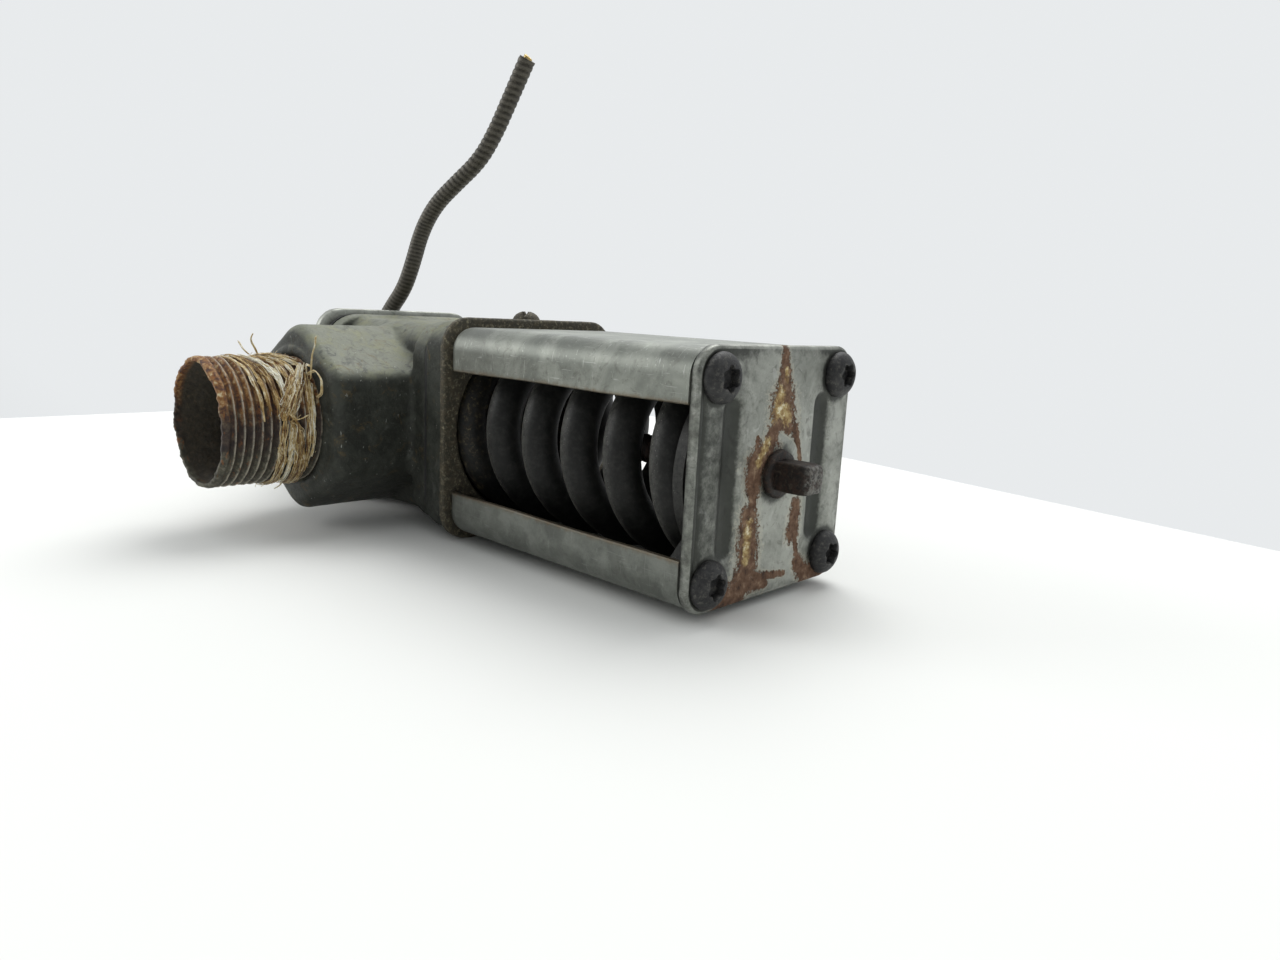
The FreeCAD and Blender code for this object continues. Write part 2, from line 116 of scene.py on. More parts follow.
def dress(obj, slot, body, *replaced):
    """Gives a piece its material and the body that it rides on, and hides the nodes that it stands for."""
    coat(obj, slot)
    obj.data.polygons.foreach_set("use_smooth", [True] * len(obj.data.polygons))
    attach(obj, body)
    if replaced:
        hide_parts(*replaced)


def linked(name, data):
    obj = bpy.data.objects.new(name, data)
    bpy.context.scene.collection.objects.link(obj)
    return obj


def mesh_object(name, verts, faces):
    mesh = bpy.data.meshes.new(name)
    mesh.from_pydata((np.asarray(verts, float) * MM + ORIGIN).tolist(), [], faces)
    mesh.validate()
    mesh.update()
    return linked(name, mesh)


def paint(obj, name, values):
    attribute = obj.data.attributes.new(name, "FLOAT", "POINT")
    attribute.data.foreach_set("value", np.asarray(values, np.float32))


def drawing_coords(obj):
    co = np.zeros(len(obj.data.vertices) * 3)
    obj.data.vertices.foreach_get("co", co)
    return (co.reshape(-1, 3) - ORIGIN) / MM


def set_coords(obj, points):
    obj.data.vertices.foreach_set("co", (points * MM + ORIGIN).ravel())
    obj.data.update()


def drawing_normals(obj):
    normals = np.zeros(len(obj.data.vertices) * 3)
    obj.data.vertices.foreach_get("normal", normals)
    return normals.reshape(-1, 3)


def face_out(obj):
    """Turns every face outwards."""
    mesh = bmesh.new()
    mesh.from_mesh(obj.data)
    bmesh.ops.recalc_face_normals(mesh, faces=mesh.faces)
    mesh.to_mesh(obj.data)
    mesh.free()


def apply_modifiers(obj):
    shape = bpy.data.meshes.new_from_object(obj.evaluated_get(bpy.context.evaluated_depsgraph_get()))
    obj.modifiers.clear()
    obj.data = shape
    return shape


def circle(sides):
    """Angles round a circle, and the unit point at each."""
    angles = np.arange(sides) * 2 * math.pi / sides
    return angles, np.column_stack([np.cos(angles), np.sin(angles)])


def ring(x, outline):
    """Points across X at x; outline is their (y, z)."""
    return np.column_stack([np.full(len(outline), x), outline])


def port_ring(r, y, ways):
    """Points round the axis of the ports; r and y are one number, or one for each of ways."""
    return np.column_stack([PORT_X + r * ways[:, 0], np.zeros(len(ways)) + y, r * ways[:, 1]])


def capped(rows):
    """Verts and faces of a stack of rings with both ends closed."""
    sides, last = len(rows[0]), (len(rows) - 1) * len(rows[0])
    ends = [tuple(range(sides))[::-1], tuple(range(last, last + sides))]
    return np.concatenate(rows), grid_faces(len(rows), sides) + ends


def looped(rows):
    """Verts and faces of a stack of rings whose last ring joins the first."""
    sides, last = len(rows[0]), (len(rows) - 1) * len(rows[0])
    return np.concatenate(rows), grid_faces(len(rows), sides) + [
        (last + c, last + (c + 1) % sides, (c + 1) % sides, c) for c in range(sides)]


def tube(path, radii, sides):
    """Rings of a tube along a path; radii is one number, one per point, or one per point and side."""
    path = np.asarray(path, float)
    radii = np.asarray(radii, float)
    if radii.ndim == 1:
        radii = radii[:, None]
    radii = np.broadcast_to(radii, (len(path), sides))
    ways = np.gradient(path, axis=0)
    ways /= np.linalg.norm(ways, axis=1)[:, None]
    side = np.cross(ways[0], [0, 0, 1])
    if np.linalg.norm(side) < 0.1:
        side = np.cross(ways[0], [0, 1, 0])
    side /= np.linalg.norm(side)
    unit = circle(sides)[1]
    rows = []
    for place, way, r in zip(path, ways, radii):
        side = side - way * (side @ way)
        side /= np.linalg.norm(side)
        rows.append(place + r[:, None] * (unit[:, :1] * side + unit[:, 1:] * np.cross(way, side)))
    return rows


def joined(parts):
    """One list of verts and one of faces from several."""
    verts, faces, start = [], [], 0
    for v, f in parts:
        verts.append(np.asarray(v, float))
        faces += [tuple(i + start for i in face) for face in f]
        start += len(v)
    return np.concatenate(verts), faces


def remeshed(node, name, voxel, smooth_rounds):
    """A new object with a CAD node's shape rebuilt as even small quads, and its edges softened."""
    obj = linked(name, frame["nodes"][node].data.copy())
    weld = obj.modifiers.new("weld", "WELD")
    weld.merge_threshold = 0.00001
    remesh = obj.modifiers.new("remesh", "REMESH")
    remesh.mode = "VOXEL"
    remesh.voxel_size = voxel * MM
    relax = obj.modifiers.new("relax", "SMOOTH")
    relax.iterations, relax.factor = smooth_rounds, 0.5
    shape = apply_modifiers(obj)
    shape.name = name
    for attribute in [a for a in shape.attributes if not a.is_internal and a.name != "position"]:
        if attribute.domain == "CORNER" or attribute.name.startswith("UV"):
            shape.attributes.remove(attribute)
    return obj


def box_distance(p, half, radius):
    """Signed distance in 2D to a rounded rectangle; p is (n, 2)."""
    q = np.abs(p) - (np.asarray(half) - radius)
    return np.linalg.norm(np.maximum(q, 0), axis=1) + np.minimum(q.max(axis=1), 0) - radius


def prism_distance(outline, along, half_length, edge):
    """Signed distance to a prism: outline is the 2D distance, along the place on its axis from the middle."""
    q = np.stack([outline + edge, np.abs(along) - half_length + edge], axis=1)
    return np.linalg.norm(np.maximum(q, 0), axis=1) + np.minimum(q.max(axis=1), 0) - edge


def smooth_min(a, b, k):
    h = np.clip(0.5 + 0.5 * (b - a) / k, 0, 1)
    return b + (a - b) * h - k * h * (1 - h)


# ---------------------------------------------------------------- materials

class Finish:
    """One procedural material. Its texture space is the drawing's frame, in millimetres."""

    def __init__(self, name, **sockets):
        self.material = bpy.data.materials.new(name)
        self.material.use_nodes = True
        self.tree = self.material.node_tree
        self.shader = next(n for n in self.tree.nodes if n.type == "BSDF_PRINCIPLED")
        coords = self.add("ShaderNodeTexCoord")
        moved = self.add("ShaderNodeVectorMath", operation="SUBTRACT", in0=coords.outputs["Object"], in1=tuple(ORIGIN))
        self.place = self.add("ShaderNodeVectorMath", operation="SCALE", in0=moved.outputs[0], Scale=1 / MM).outputs[0]
        self.normal = coords.outputs["Normal"]
        for name, value in sockets.items():
            self.put(name, value)

    def add(self, kind, **settings):
        """A new node; settings are inputs by name or as in0, in1, and its properties."""
        node = self.tree.nodes.new(kind)
        for key, value in settings.items():
            name = key.replace("_", " ")
            if key in ("in0", "in1"):
                self.feed(node.inputs[int(key[2:])], value)
            elif name in node.inputs:
                self.feed(node.inputs[name], value)
            else:
                setattr(node, key, value)
        return node

    def feed(self, socket, value):
        if isinstance(value, bpy.types.NodeSocket):
            self.tree.links.new(value, socket)
        elif socket.type == "RGBA" and len(value) == 3:
            socket.default_value = (*value, 1)
        else:
            socket.default_value = value

    def put(self, name, value):
        self.feed(self.shader.inputs[name.replace("_", " ")], value)

    def noise(self, scale, detail=4.0, rough=0.6, distortion=0.0, stretch=None, seed=0.0):
        place = self.place
        if stretch or seed:
            place = self.add("ShaderNodeMapping", Vector=place, Scale=stretch or (1, 1, 1),
                             Location=(seed, seed, seed)).outputs[0]
        return self.add("ShaderNodeTexNoise", Vector=place, Scale=scale, Detail=detail, Roughness=rough,
                        Distortion=distortion).outputs["Fac"]

    def cells(self, scale, seed):
        place = self.add("ShaderNodeMapping", Vector=self.place, Location=(seed, seed, seed)).outputs[0]
        return self.add("ShaderNodeTexVoronoi", Vector=place, Scale=scale).outputs["Distance"]

    def band(self, value, lo, hi):
        """0 below lo, 1 above hi, smooth between; falls instead if lo is above hi."""
        return self.add("ShaderNodeMapRange", Value=value, interpolation_type="SMOOTHSTEP", From_Min=min(lo, hi),
                        From_Max=max(lo, hi), To_Min=float(lo > hi), To_Max=float(lo < hi)).outputs[0]

    def spots(self, lo, hi, *args, **settings):
        """Patches of noise: 0 where it is below lo, 1 above hi."""
        return self.band(self.noise(*args, **settings), lo, hi)

    def math(self, operation, a, b=0.0, clamp=False):
        return self.add("ShaderNodeMath", operation=operation, in0=a, in1=b, use_clamp=clamp).outputs[0]

    def times(self, a, b):
        return self.math("MULTIPLY", a, b)

    def mix(self, factor, a, b):
        node = self.add("ShaderNodeMix", data_type="RGBA")
        self.feed(node.inputs["Factor"], factor)
        for socket in node.inputs:
            if socket.type == "RGBA" and socket.name in ("A", "B"):
                self.feed(socket, a if socket.name == "A" else b)
        return next(o for o in node.outputs if o.type == "RGBA")

    def over(self, colour, mask, strength, tone):
        """colour with tone laid over it where mask is high."""
        return self.mix(self.times(mask, strength), colour, tone)

    def level(self, factor, a, b):
        """A number from a to b by factor."""
        return self.add("ShaderNodeMapRange", Value=factor, To_Min=a, To_Max=b).outputs[0]

    def ramp(self, factor, *stops):
        node = self.add("ShaderNodeValToRGB", Fac=factor)
        elements = node.color_ramp.elements
        while len(elements) < len(stops):
            elements.new(0.5)
        for element, (position, colour) in zip(elements, stops):
            element.position, element.color = position, (*colour, 1)
        return node.outputs["Color"]

    def attribute(self, name):
        return self.add("ShaderNodeAttribute", attribute_name=name).outputs["Fac"]

    def axis(self, vector, name):
        return self.add("ShaderNodeSeparateXYZ", Vector=vector).outputs[name]

    def done(self, colour, roughness, *bumps):
        """The finished material; bumps are (height, distance in millimetres)."""
        self.put("Base_Color", colour)
        self.put("Roughness", roughness)
        below = {}
        for height, distance in bumps:
            node = self.add("ShaderNodeBump", Height=height, Distance=distance * MM, **below)
            below = {"Normal": node.outputs[0]}
        self.put("Normal", below["Normal"])
        return self.material


def rust_colour(f, pale):
    """Orange-brown scale with cream where pale is high."""
    brown = f.ramp(f.noise(0.42, 8, 0.66), (0.34, (0.045, 0.024, 0.014)), (0.45, (0.115, 0.058, 0.031)),
                   (0.55, (0.175, 0.10, 0.06)), (0.66, (0.30, 0.20, 0.125)))
    brown = f.mix(f.spots(0.58, 0.68, 1.5, 5, 0.7, seed=31.0), brown, (0.035, 0.02, 0.012))
    golden = f.ramp(f.noise(0.6, 7, 0.7, seed=3.0), (0.36, (0.13, 0.07, 0.03)), (0.46, (0.30, 0.19, 0.075)),
                    (0.56, (0.50, 0.38, 0.17)), (0.64, (0.80, 0.74, 0.55)))
    patch = f.band(f.math("ADD", f.times(f.noise(0.5, 5, 0.7, seed=5.0), 1.4), pale), 1.0, 1.3)
    return f.mix(patch, brown, golden)


ZINC_METALLIC = 0.72


def zinc(name, light, dark, stain_edge=None, painted=False, roughness=(0.36, 0.56)):
    """Dull zinc plating: clouded, speckled and scratched, with rust where the mesh is painted for it."""
    f = Finish(name, Metallic=ZINC_METALLIC)
    clouds = f.noise(0.075, 6, 0.62, 0.6)
    colour = f.mix(f.band(clouds, 0.36, 0.66), dark, light)
    colour = f.over(colour, f.spots(0.50, 0.70, 0.30, 7, 0.74, 1.2, seed=7.0), 0.6, (0.10, 0.10, 0.085))
    colour = f.over(colour, f.spots(0.58, 0.72, 1.1, 6, 0.75, seed=11.0), 0.45, (0.50, 0.51, 0.47))
    colour = f.over(colour, f.band(f.cells(0.7, seed=2.0), 0.09, 0.03), 0.75, (0.07, 0.055, 0.04))
    long_marks = f.spots(0.64, 0.70, 1.0, 3, 0.5, 0.3, stretch=(0.16, 2.2, 2.2), seed=5.0)
    cross_marks = f.spots(0.66, 0.70, 0.9, 2, 0.5, 1.0, stretch=(2.0, 0.3, 0.22), seed=9.0)
    marks = f.math("MAXIMUM", f.times(long_marks, 0.35), f.times(cross_marks, 0.4))
    colour = f.mix(marks, colour, (0.50, 0.51, 0.48))
    rough = f.level(clouds, *roughness)
    if stain_edge is not None:
        x, z = f.axis(f.place, "X"), f.axis(f.place, "Z")
        # painted shade mixed with grime: the channels darken below the middle, where less light reaches them
        low_shade_and_grime = f.mix(f.spots(0.4, 0.62, 0.12, 6, 0.7, seed=19.0), (0.085, 0.09, 0.08), (0.19, 0.20, 0.18))
        colour = f.over(colour, f.band(z, 2.0, -12.0), 0.62, low_shade_and_grime)
        # darker in patches towards the cover plate end: partly painted shade, partly grime
        left_shade_and_grime = f.times(f.band(x, -50.0, COVER_FACE), f.spots(0.36, 0.6, 0.16, 7, 0.7, seed=23.0))
        colour = f.over(colour, left_shade_and_grime, 0.5, (0.13, 0.135, 0.12))
        wander = f.times(f.noise(0.5, 4, 0.7, seed=4.0), 2.4)
        edge = f.band(f.math("SUBTRACT", f.math("ABSOLUTE", z), wander), stain_edge, stain_edge - 1.5)
        colour = f.over(colour, edge, 0.75, (0.15, 0.11, 0.065))
    layers = [(clouds, 0.05), (f.noise(3.0, 6, 0.7), 0.04), (marks, 0.03)]
    if painted:
        # near-black where the plate carries painted shade and grime: grooves, crease, rings round the heads and
        # collar, left side
        shade_and_grime_smear = f.band(f.math("ADD", f.attribute("shade_and_dirt"), f.times(f.noise(0.45, 7, 0.75, seed=6.0), 1.2)), 0.62, 1.35)
        colour = f.over(colour, shade_and_grime_smear, 0.9, (0.026, 0.028, 0.024))
        grain = f.times(f.math("SUBTRACT", f.noise(1.0, 7, 0.75, seed=8.0), 0.5), 1.5)
        amount = f.math("ADD", f.attribute("rust"), grain)
        rust = f.band(amount, 0.44, 0.56)
        colour = f.mix(rust, colour, rust_colour(f, f.attribute("cream")))
        halo = f.math("SUBTRACT", f.band(amount, 0.20, 0.44), rust, True)
        colour = f.over(colour, halo, 0.45, (0.55, 0.52, 0.42))
        rough = f.math("MAXIMUM", rough, f.times(rust, 0.9))
        layers.append((f.times(rust, f.noise(1.1, 7, 0.75)), 0.3))
        f.put("Metallic", f.level(rust, ZINC_METALLIC, 0.0))
    return f.done(colour, rough, *layers)


# Layers of dirt on the casting: (scale, detail, roughness, distortion, stretch, seed) of the noise, its band,
# strength, colour, and whether it lies only on faces that look up.
CAST_LAYERS = [
    ((0.45, 6, 0.72, 1.0, None, 4.0), 0.50, 0.68, 0.50, (0.075, 0.078, 0.064), False),     # dark mottle
    # the olive film is pale and lies only on faces that look up: partly a film, partly a painted highlight
    ((0.13, 7, 0.70, 0.8, None, 17.0), 0.46, 0.62, 0.80, (0.20, 0.205, 0.125), True),      # olive film
    ((0.20, 7, 0.72, 1.0, None, 27.0), 0.54, 0.66, 0.75, (0.058, 0.060, 0.058), True),     # tarnish
    ((0.24, 7, 0.72, 0.9, None, 13.0), 0.55, 0.68, 0.55, (0.12, 0.085, 0.038), False),     # brown stains
    ((0.17, 7, 0.70, 1.2, None, 37.0), 0.56, 0.70, 0.45, (0.125, 0.135, 0.118), False),    # grey bloom
    ((1.2, 3, 0.60, 0.5, (1, 1, 0.35), 41.0), 0.68, 0.72, 0.80, (0.36, 0.37, 0.34), False),  # nicks
    ((0.9, 6, 0.78, 0.0, None, 21.0), 0.64, 0.74, 0.40, (0.26, 0.265, 0.21), False),       # pale specks
]


def cast_metal(name, dark, light, top_film_and_highlight):
    """Rough casting, dark where it hangs and paler where it faces up: partly an olive film, partly a painted highlight
    of the overhead light.
    """
    f = Finish(name, Metallic=0.3, Specular_IOR_Level=0.35)
    up = f.band(f.axis(f.normal, "Z"), 0.25, 0.8)
    patches = f.noise(0.09, 7, 0.65, 0.8, seed=1.0)
    # painted highlight mixed with a film on faces that look up
    top_film_and_highlight_mask = f.times(up, f.band(patches, 0.24, 0.46))
    colour = f.mix(f.spots(0.35, 0.7, 0.16, 6, 0.65, 0.5), dark, light)
    colour = f.mix(top_film_and_highlight_mask, colour, top_film_and_highlight)
    for noise_args, lo, hi, strength, tone, on_top in CAST_LAYERS:
        mask = f.spots(lo, hi, *noise_args)
        colour = f.over(colour, f.times(up, mask) if on_top else mask, strength, tone)
    return f.done(colour, f.level(patches, 0.48, 0.72), (f.noise(0.5, 6, 0.6, seed=2.0), 0.25),
                  (f.noise(2.2, 6, 0.7), 0.09))


def painted_spring(name):
    f = Finish(name, Specular_IOR_Level=0.22)
    wear = f.noise(0.5, 7, 0.72, seed=3.0)
    # painted highlight: the side that looks towards -X, where the light falls, gets pale dusty speckles and bright
    # glints
    left = f.band(f.axis(f.normal, "X"), 0.35, -0.65)
    colour = f.mix(f.band(wear, 0.4, 0.7), (0.011, 0.011, 0.0105), (0.024, 0.024, 0.022))
    dust_and_highlight = f.times(left, f.spots(0.30, 0.66, 0.9, 7, 0.75, seed=5.0))
    colour = f.over(colour, dust_and_highlight, 0.6, (0.15, 0.15, 0.135))
    painted_glints = f.times(left, f.band(f.cells(1.4, seed=6.0), 0.16, 0.05))
    colour = f.over(colour, painted_glints, 0.8, (0.60, 0.58, 0.52))
    foot = f.band(f.axis(f.place, "X"), -78.5, -82.5)
    rusty = f.times(foot, f.spots(0.46, 0.60, 0.45, 7, 0.75, 0.6, seed=8.0))
    scale = f.ramp(f.noise(0.6, 7, 0.75), (0.38, (0.012, 0.010, 0.008)), (0.52, (0.032, 0.026, 0.017)),
                   (0.64, (0.15, 0.125, 0.07)))
    colour = f.over(colour, rusty, 0.85, scale)
    return f.done(colour, f.level(wear, 0.34, 0.62), (wear, 0.06), (f.noise(3.0, 5, 0.7), 0.05))


def rusty_pipe(name):
    """Old threaded steel: orange and purple scale on top, grey-green grease below, and worn bright crests that also
    carry a painted highlight.
    """
    f = Finish(name, Metallic=0.3)
    grain = f.noise(0.55, 8, 0.72, 0.4)
    top = f.ramp(grain, (0.34, (0.030, 0.012, 0.009)), (0.43, (0.10, 0.036, 0.014)), (0.51, (0.24, 0.10, 0.022)),
                 (0.58, (0.36, 0.22, 0.09)), (0.65, (0.60, 0.52, 0.34)))
    middle = f.ramp(grain, (0.36, (0.012, 0.007, 0.007)), (0.50, (0.034, 0.020, 0.015)), (0.64, (0.085, 0.062, 0.042)))
    low = f.ramp(grain, (0.36, (0.026, 0.023, 0.015)), (0.50, (0.062, 0.057, 0.038)), (0.64, (0.15, 0.14, 0.10)))
    wander = f.times(f.math("SUBTRACT", f.noise(0.22, 5, 0.7, seed=2.0), 0.5), 16.0)
    height = f.math("ADD", f.axis(f.place, "Z"), wander)
    colour = f.mix(f.band(height, 1.0, 8.5), middle, top)
    colour = f.mix(f.band(height, -2.5, -9.0), colour, low)
    streak = f.spots(0.56, 0.68, 0.35, 5, 0.7, stretch=(1, 2.4, 1), seed=17.0)
    colour = f.over(colour, streak, 0.6, (0.30, 0.10, 0.018))
    # pale patches on the thread crests: partly worn bare metal, partly a painted highlight
    crest = f.times(f.attribute("crest"), f.spots(0.36, 0.54, 0.45, 8, 0.8, seed=5.0))
    colour = f.over(colour, crest, 0.85, (0.50, 0.46, 0.37))
    colour = f.over(colour, f.attribute("root"), 0.7, (0.028, 0.018, 0.012))
    scale = f.ramp(f.noise(0.6, 8, 0.8, seed=9.0), (0.3, (0.012, 0.009, 0.007)), (0.55, (0.045, 0.036, 0.022)),
                   (0.78, (0.13, 0.09, 0.05)))
    colour = f.mix(f.attribute("inside"), colour, scale)
    f.put("Metallic", f.times(crest, 0.5))
    return f.done(colour, f.level(grain, 0.5, 0.95), (grain, 0.22), (f.noise(3.5, 6, 0.8), 0.12))


def fibre(name):
    f = Finish(name, Specular_IOR_Level=0.25, Sheen_Weight=0.25)
    fine = f.noise(2.0, 4, 0.7)
    drift = f.times(f.math("SUBTRACT", f.noise(0.35, 6, 0.7, 0.5), 0.5), 1.6)
    tone = f.math("ADD", f.attribute("tone"), drift)
    colour = f.ramp(tone, (0.06, (0.09, 0.045, 0.018)), (0.30, (0.24, 0.13, 0.04)), (0.50, (0.48, 0.33, 0.13)),
                    (0.72, (0.70, 0.58, 0.33)), (0.95, (0.86, 0.84, 0.72)))
    colour = f.mix(f.band(fine, 0.58, 0.75), colour, (0.13, 0.075, 0.03))
    return f.done(colour, 0.85, (fine, 0.08))


def bronze_armour(name):
    f = Finish(name, Metallic=0.55)
    tone = f.noise(0.4, 6, 0.7)
    colour = f.mix(f.band(tone, 0.35, 0.7), (0.034, 0.031, 0.024), (0.075, 0.067, 0.051))
    # painted highlight on the crests of the wound strip, and painted shade in the roots between its turns
    colour = f.over(colour, f.attribute("crest"), 0.35, (0.17, 0.158, 0.13))
    colour = f.mix(f.attribute("root"), colour, (0.012, 0.010, 0.008))
    return f.done(colour, f.level(tone, 0.38, 0.6), (f.noise(3.0, 5, 0.7), 0.05))


def worn_screw(name, base, worn, speck, roughness=(0.4, 0.7), metallic=0.35, face_on=None):
    """Dark corroded fastener steel; face_on adds bright speckles to the face that looks along +X."""
    f = Finish(name, Metallic=metallic)
    tone = f.noise(0.6, 7, 0.72, 0.4)
    colour = f.mix(f.band(tone, 0.42, 0.66), base, worn)
    dusty = f.spots(0.50, 0.66, 0.9, 8, 0.8, seed=3.0)
    colour = f.over(colour, dusty, 0.75, speck)
    if face_on:
        end = f.band(f.axis(f.place, "X"), 9.0, 10.2)
        face = f.times(end, f.spots(0.42, 0.6, 0.9, 7, 0.8, seed=9.0))
        colour = f.over(colour, face, 0.8, face_on)
    return f.done(colour, f.level(tone, *roughness), (tone, 0.12), (f.noise(2.8, 6, 0.75), 0.08))


def plain_metal(name, base, deep, metallic=0.85, roughness=(0.25, 0.45)):
    f = Finish(name, Metallic=metallic)
    tone = f.noise(0.3, 6, 0.65, 0.4)
    colour = f.mix(f.band(tone, 0.35, 0.7), deep, base)
    return f.done(colour, f.level(tone, *roughness), (f.noise(2.5, 5, 0.7), 0.03))


FINISHES = {
    "zinc_plate": zinc("zinc_plate", (0.40, 0.41, 0.37), (0.25, 0.26, 0.23), painted=True),
    "zinc_channel": zinc("zinc_channel", (0.275, 0.29, 0.255), (0.155, 0.165, 0.145), stain_edge=WINDOW_Z),
    "zinc_cup": zinc("zinc_cup", (0.22, 0.225, 0.20), (0.12, 0.125, 0.115)),
    "cast_body": cast_metal("cast_body", (0.024, 0.026, 0.021), (0.052, 0.056, 0.046), (0.185, 0.195, 0.155)),
    "black_screws": worn_screw("black_screws", (0.018, 0.018, 0.019), (0.042, 0.042, 0.041), (0.12, 0.115, 0.10)),
    "brown_screw": worn_screw("brown_screw", (0.010, 0.008, 0.007), (0.036, 0.018, 0.012), (0.075, 0.06, 0.045),
                              face_on=(0.20, 0.195, 0.175)),
    "rusty_plate": worn_screw("rusty_plate", (0.045, 0.040, 0.027), (0.085, 0.07, 0.043), (0.33, 0.30, 0.20),
                              (0.6, 0.9), 0.1),
    "spring_steel": painted_spring("spring_steel"),
    "pipe_steel": rusty_pipe("pipe_steel"),
    "hemp": fibre("hemp"),
    "armour": bronze_armour("armour"),
    "brass": plain_metal("brass", (0.66, 0.50, 0.20), (0.36, 0.25, 0.09)),
    "rubber": plain_metal("rubber", (0.022, 0.022, 0.022), (0.012, 0.012, 0.012), 0.0, (0.6, 0.8)),
    "bellows_metal": plain_metal("bellows_metal", (0.55, 0.52, 0.44), (0.38, 0.35, 0.28)),
}
SLOT_OF = {part["node"]: part["material_slot"] for part in frame["record"]["subparts"]}
for node, obj in frame["nodes"].items():
    coat(obj, SLOT_OF[node])


def piece(name, shape, slot, *replaced, body="valve", sharp=None, fix_normals=True):
    """A piece from its (verts, faces); edges of more than sharp degrees stay crisp."""
    obj = mesh_object(name, *shape)
    dress(obj, slot, body, *replaced)
    if fix_normals:
        face_out(obj)
    if sharp:
        obj.data.set_sharp_from_angle(angle=math.radians(sharp))
    return obj


# ---------------------------------------------------------------- end plate

def plate_outline(ways, inset):
    """Points of the plate's rounded outline in the directions ways, moved in by inset."""
    half = np.array([PLATE_Y, PLATE_Z]) - inset
    radius = PLATE_CORNER - inset
    lo, hi = np.full(len(ways), 5.0), np.full(len(ways), 45.0)
    for _ in range(40):
        middle = (lo + hi) / 2
        inside = box_distance(ways * middle[:, None], half, radius) < 0
        lo, hi = np.where(inside, middle, lo), np.where(inside, hi, middle)
    return ways * lo[:, None]


def strokes(points, lines):
    """How deep each 2D point lies in brush strokes (from, to, radius at each): 1 at the line, 0.5 at the radius."""
    best = np.zeros(len(points))
    for a, b, ra, rb in lines:
        a, b = np.array(a), np.array(b)
        t = np.clip((points - a) @ (b - a) / ((b - a) @ (b - a)), 0, 1)
        d = np.linalg.norm(points - (a + t[:, None] * (b - a)), axis=1)
        best = np.maximum(best, 1 - 0.5 * d / (ra + (rb - ra) * t))
    return np.clip(best, 0, 1)


GROOVE_Y, GROOVE_HALF, GROOVE_R, GROOVE_DEPTH = 16.6, 14.5, 3.4, 1.35
HUB_R, PLATE_BEND = 4.15, 0.9

# Brush strokes on the plate in (Y, Z): from, to, and the radius at each.
RUST = [
    ((0.3, 26.0), (0.6, 21.5), 1.4, 2.0), ((0.8, 21.5), (0.7, 15.5), 2.2, 4.2), ((0.7, 15.5), (1.6, 10.2), 4.3, 4.7),
    ((-1.5, 9.5), (-4.5, 5.0), 2.2, 2.4), ((-4.5, 5.0), (-8.0, 2.4), 2.9, 3.2), ((-8.0, 2.4), (-8.0, -2.0), 3.2, 2.8),
    ((-8.0, -2.0), (-7.6, -6.0), 2.6, 1.4), ((5.8, 9.6), (7.8, 5.6), 1.5, 1.0), ((7.8, 5.6), (9.0, 2.2), 1.0, 0.8),
    ((-7.6, 8.2), (-7.7, 5.6), 0.7, 0.8), ((-8.8, -8.6), (-8.3, -16.0), 2.9, 3.8),
    ((-8.3, -16.0), (-8.0, -20.5), 3.6, 3.5),
    ((-8.0, -20.5), (-11.0, -24.8), 3.5, 3.6), ((-11.0, -24.8), (-17.0, -26.6), 3.4, 2.2),
    ((-7.0, -24.2), (-1.0, -25.0), 1.9, 1.2), ((-5.0, -22.9), (6.2, -23.9), 1.3, 0.7),
    ((8.9, -8.2), (8.4, -14.6), 1.9, 2.5), ((9.4, -15.5), (11.0, -21.0), 0.8, 1.0),
    ((11.4, -22.4), (14.4, -25.2), 2.0, 2.5), ((14.4, -25.2), (23.0, -27.0), 2.4, 1.7),
]
BARE = [((1.2, 8.4), (6.0, 4.2), 1.7, 1.9)]
CREAM = [((-0.5, 17.5), (-0.8, 14.0), 2.0, 2.6), ((2.0, 14.5), (2.0, 12.0), 1.8, 1.8),
         ((-4.2, 7.0), (-7.0, 3.0), 1.4, 1.2), ((-8.8, -10.0), (-9.0, -18.0), 1.4, 1.4),
         ((1.0, 22.5), (1.0, 20.5), 0.9, 0.9)]


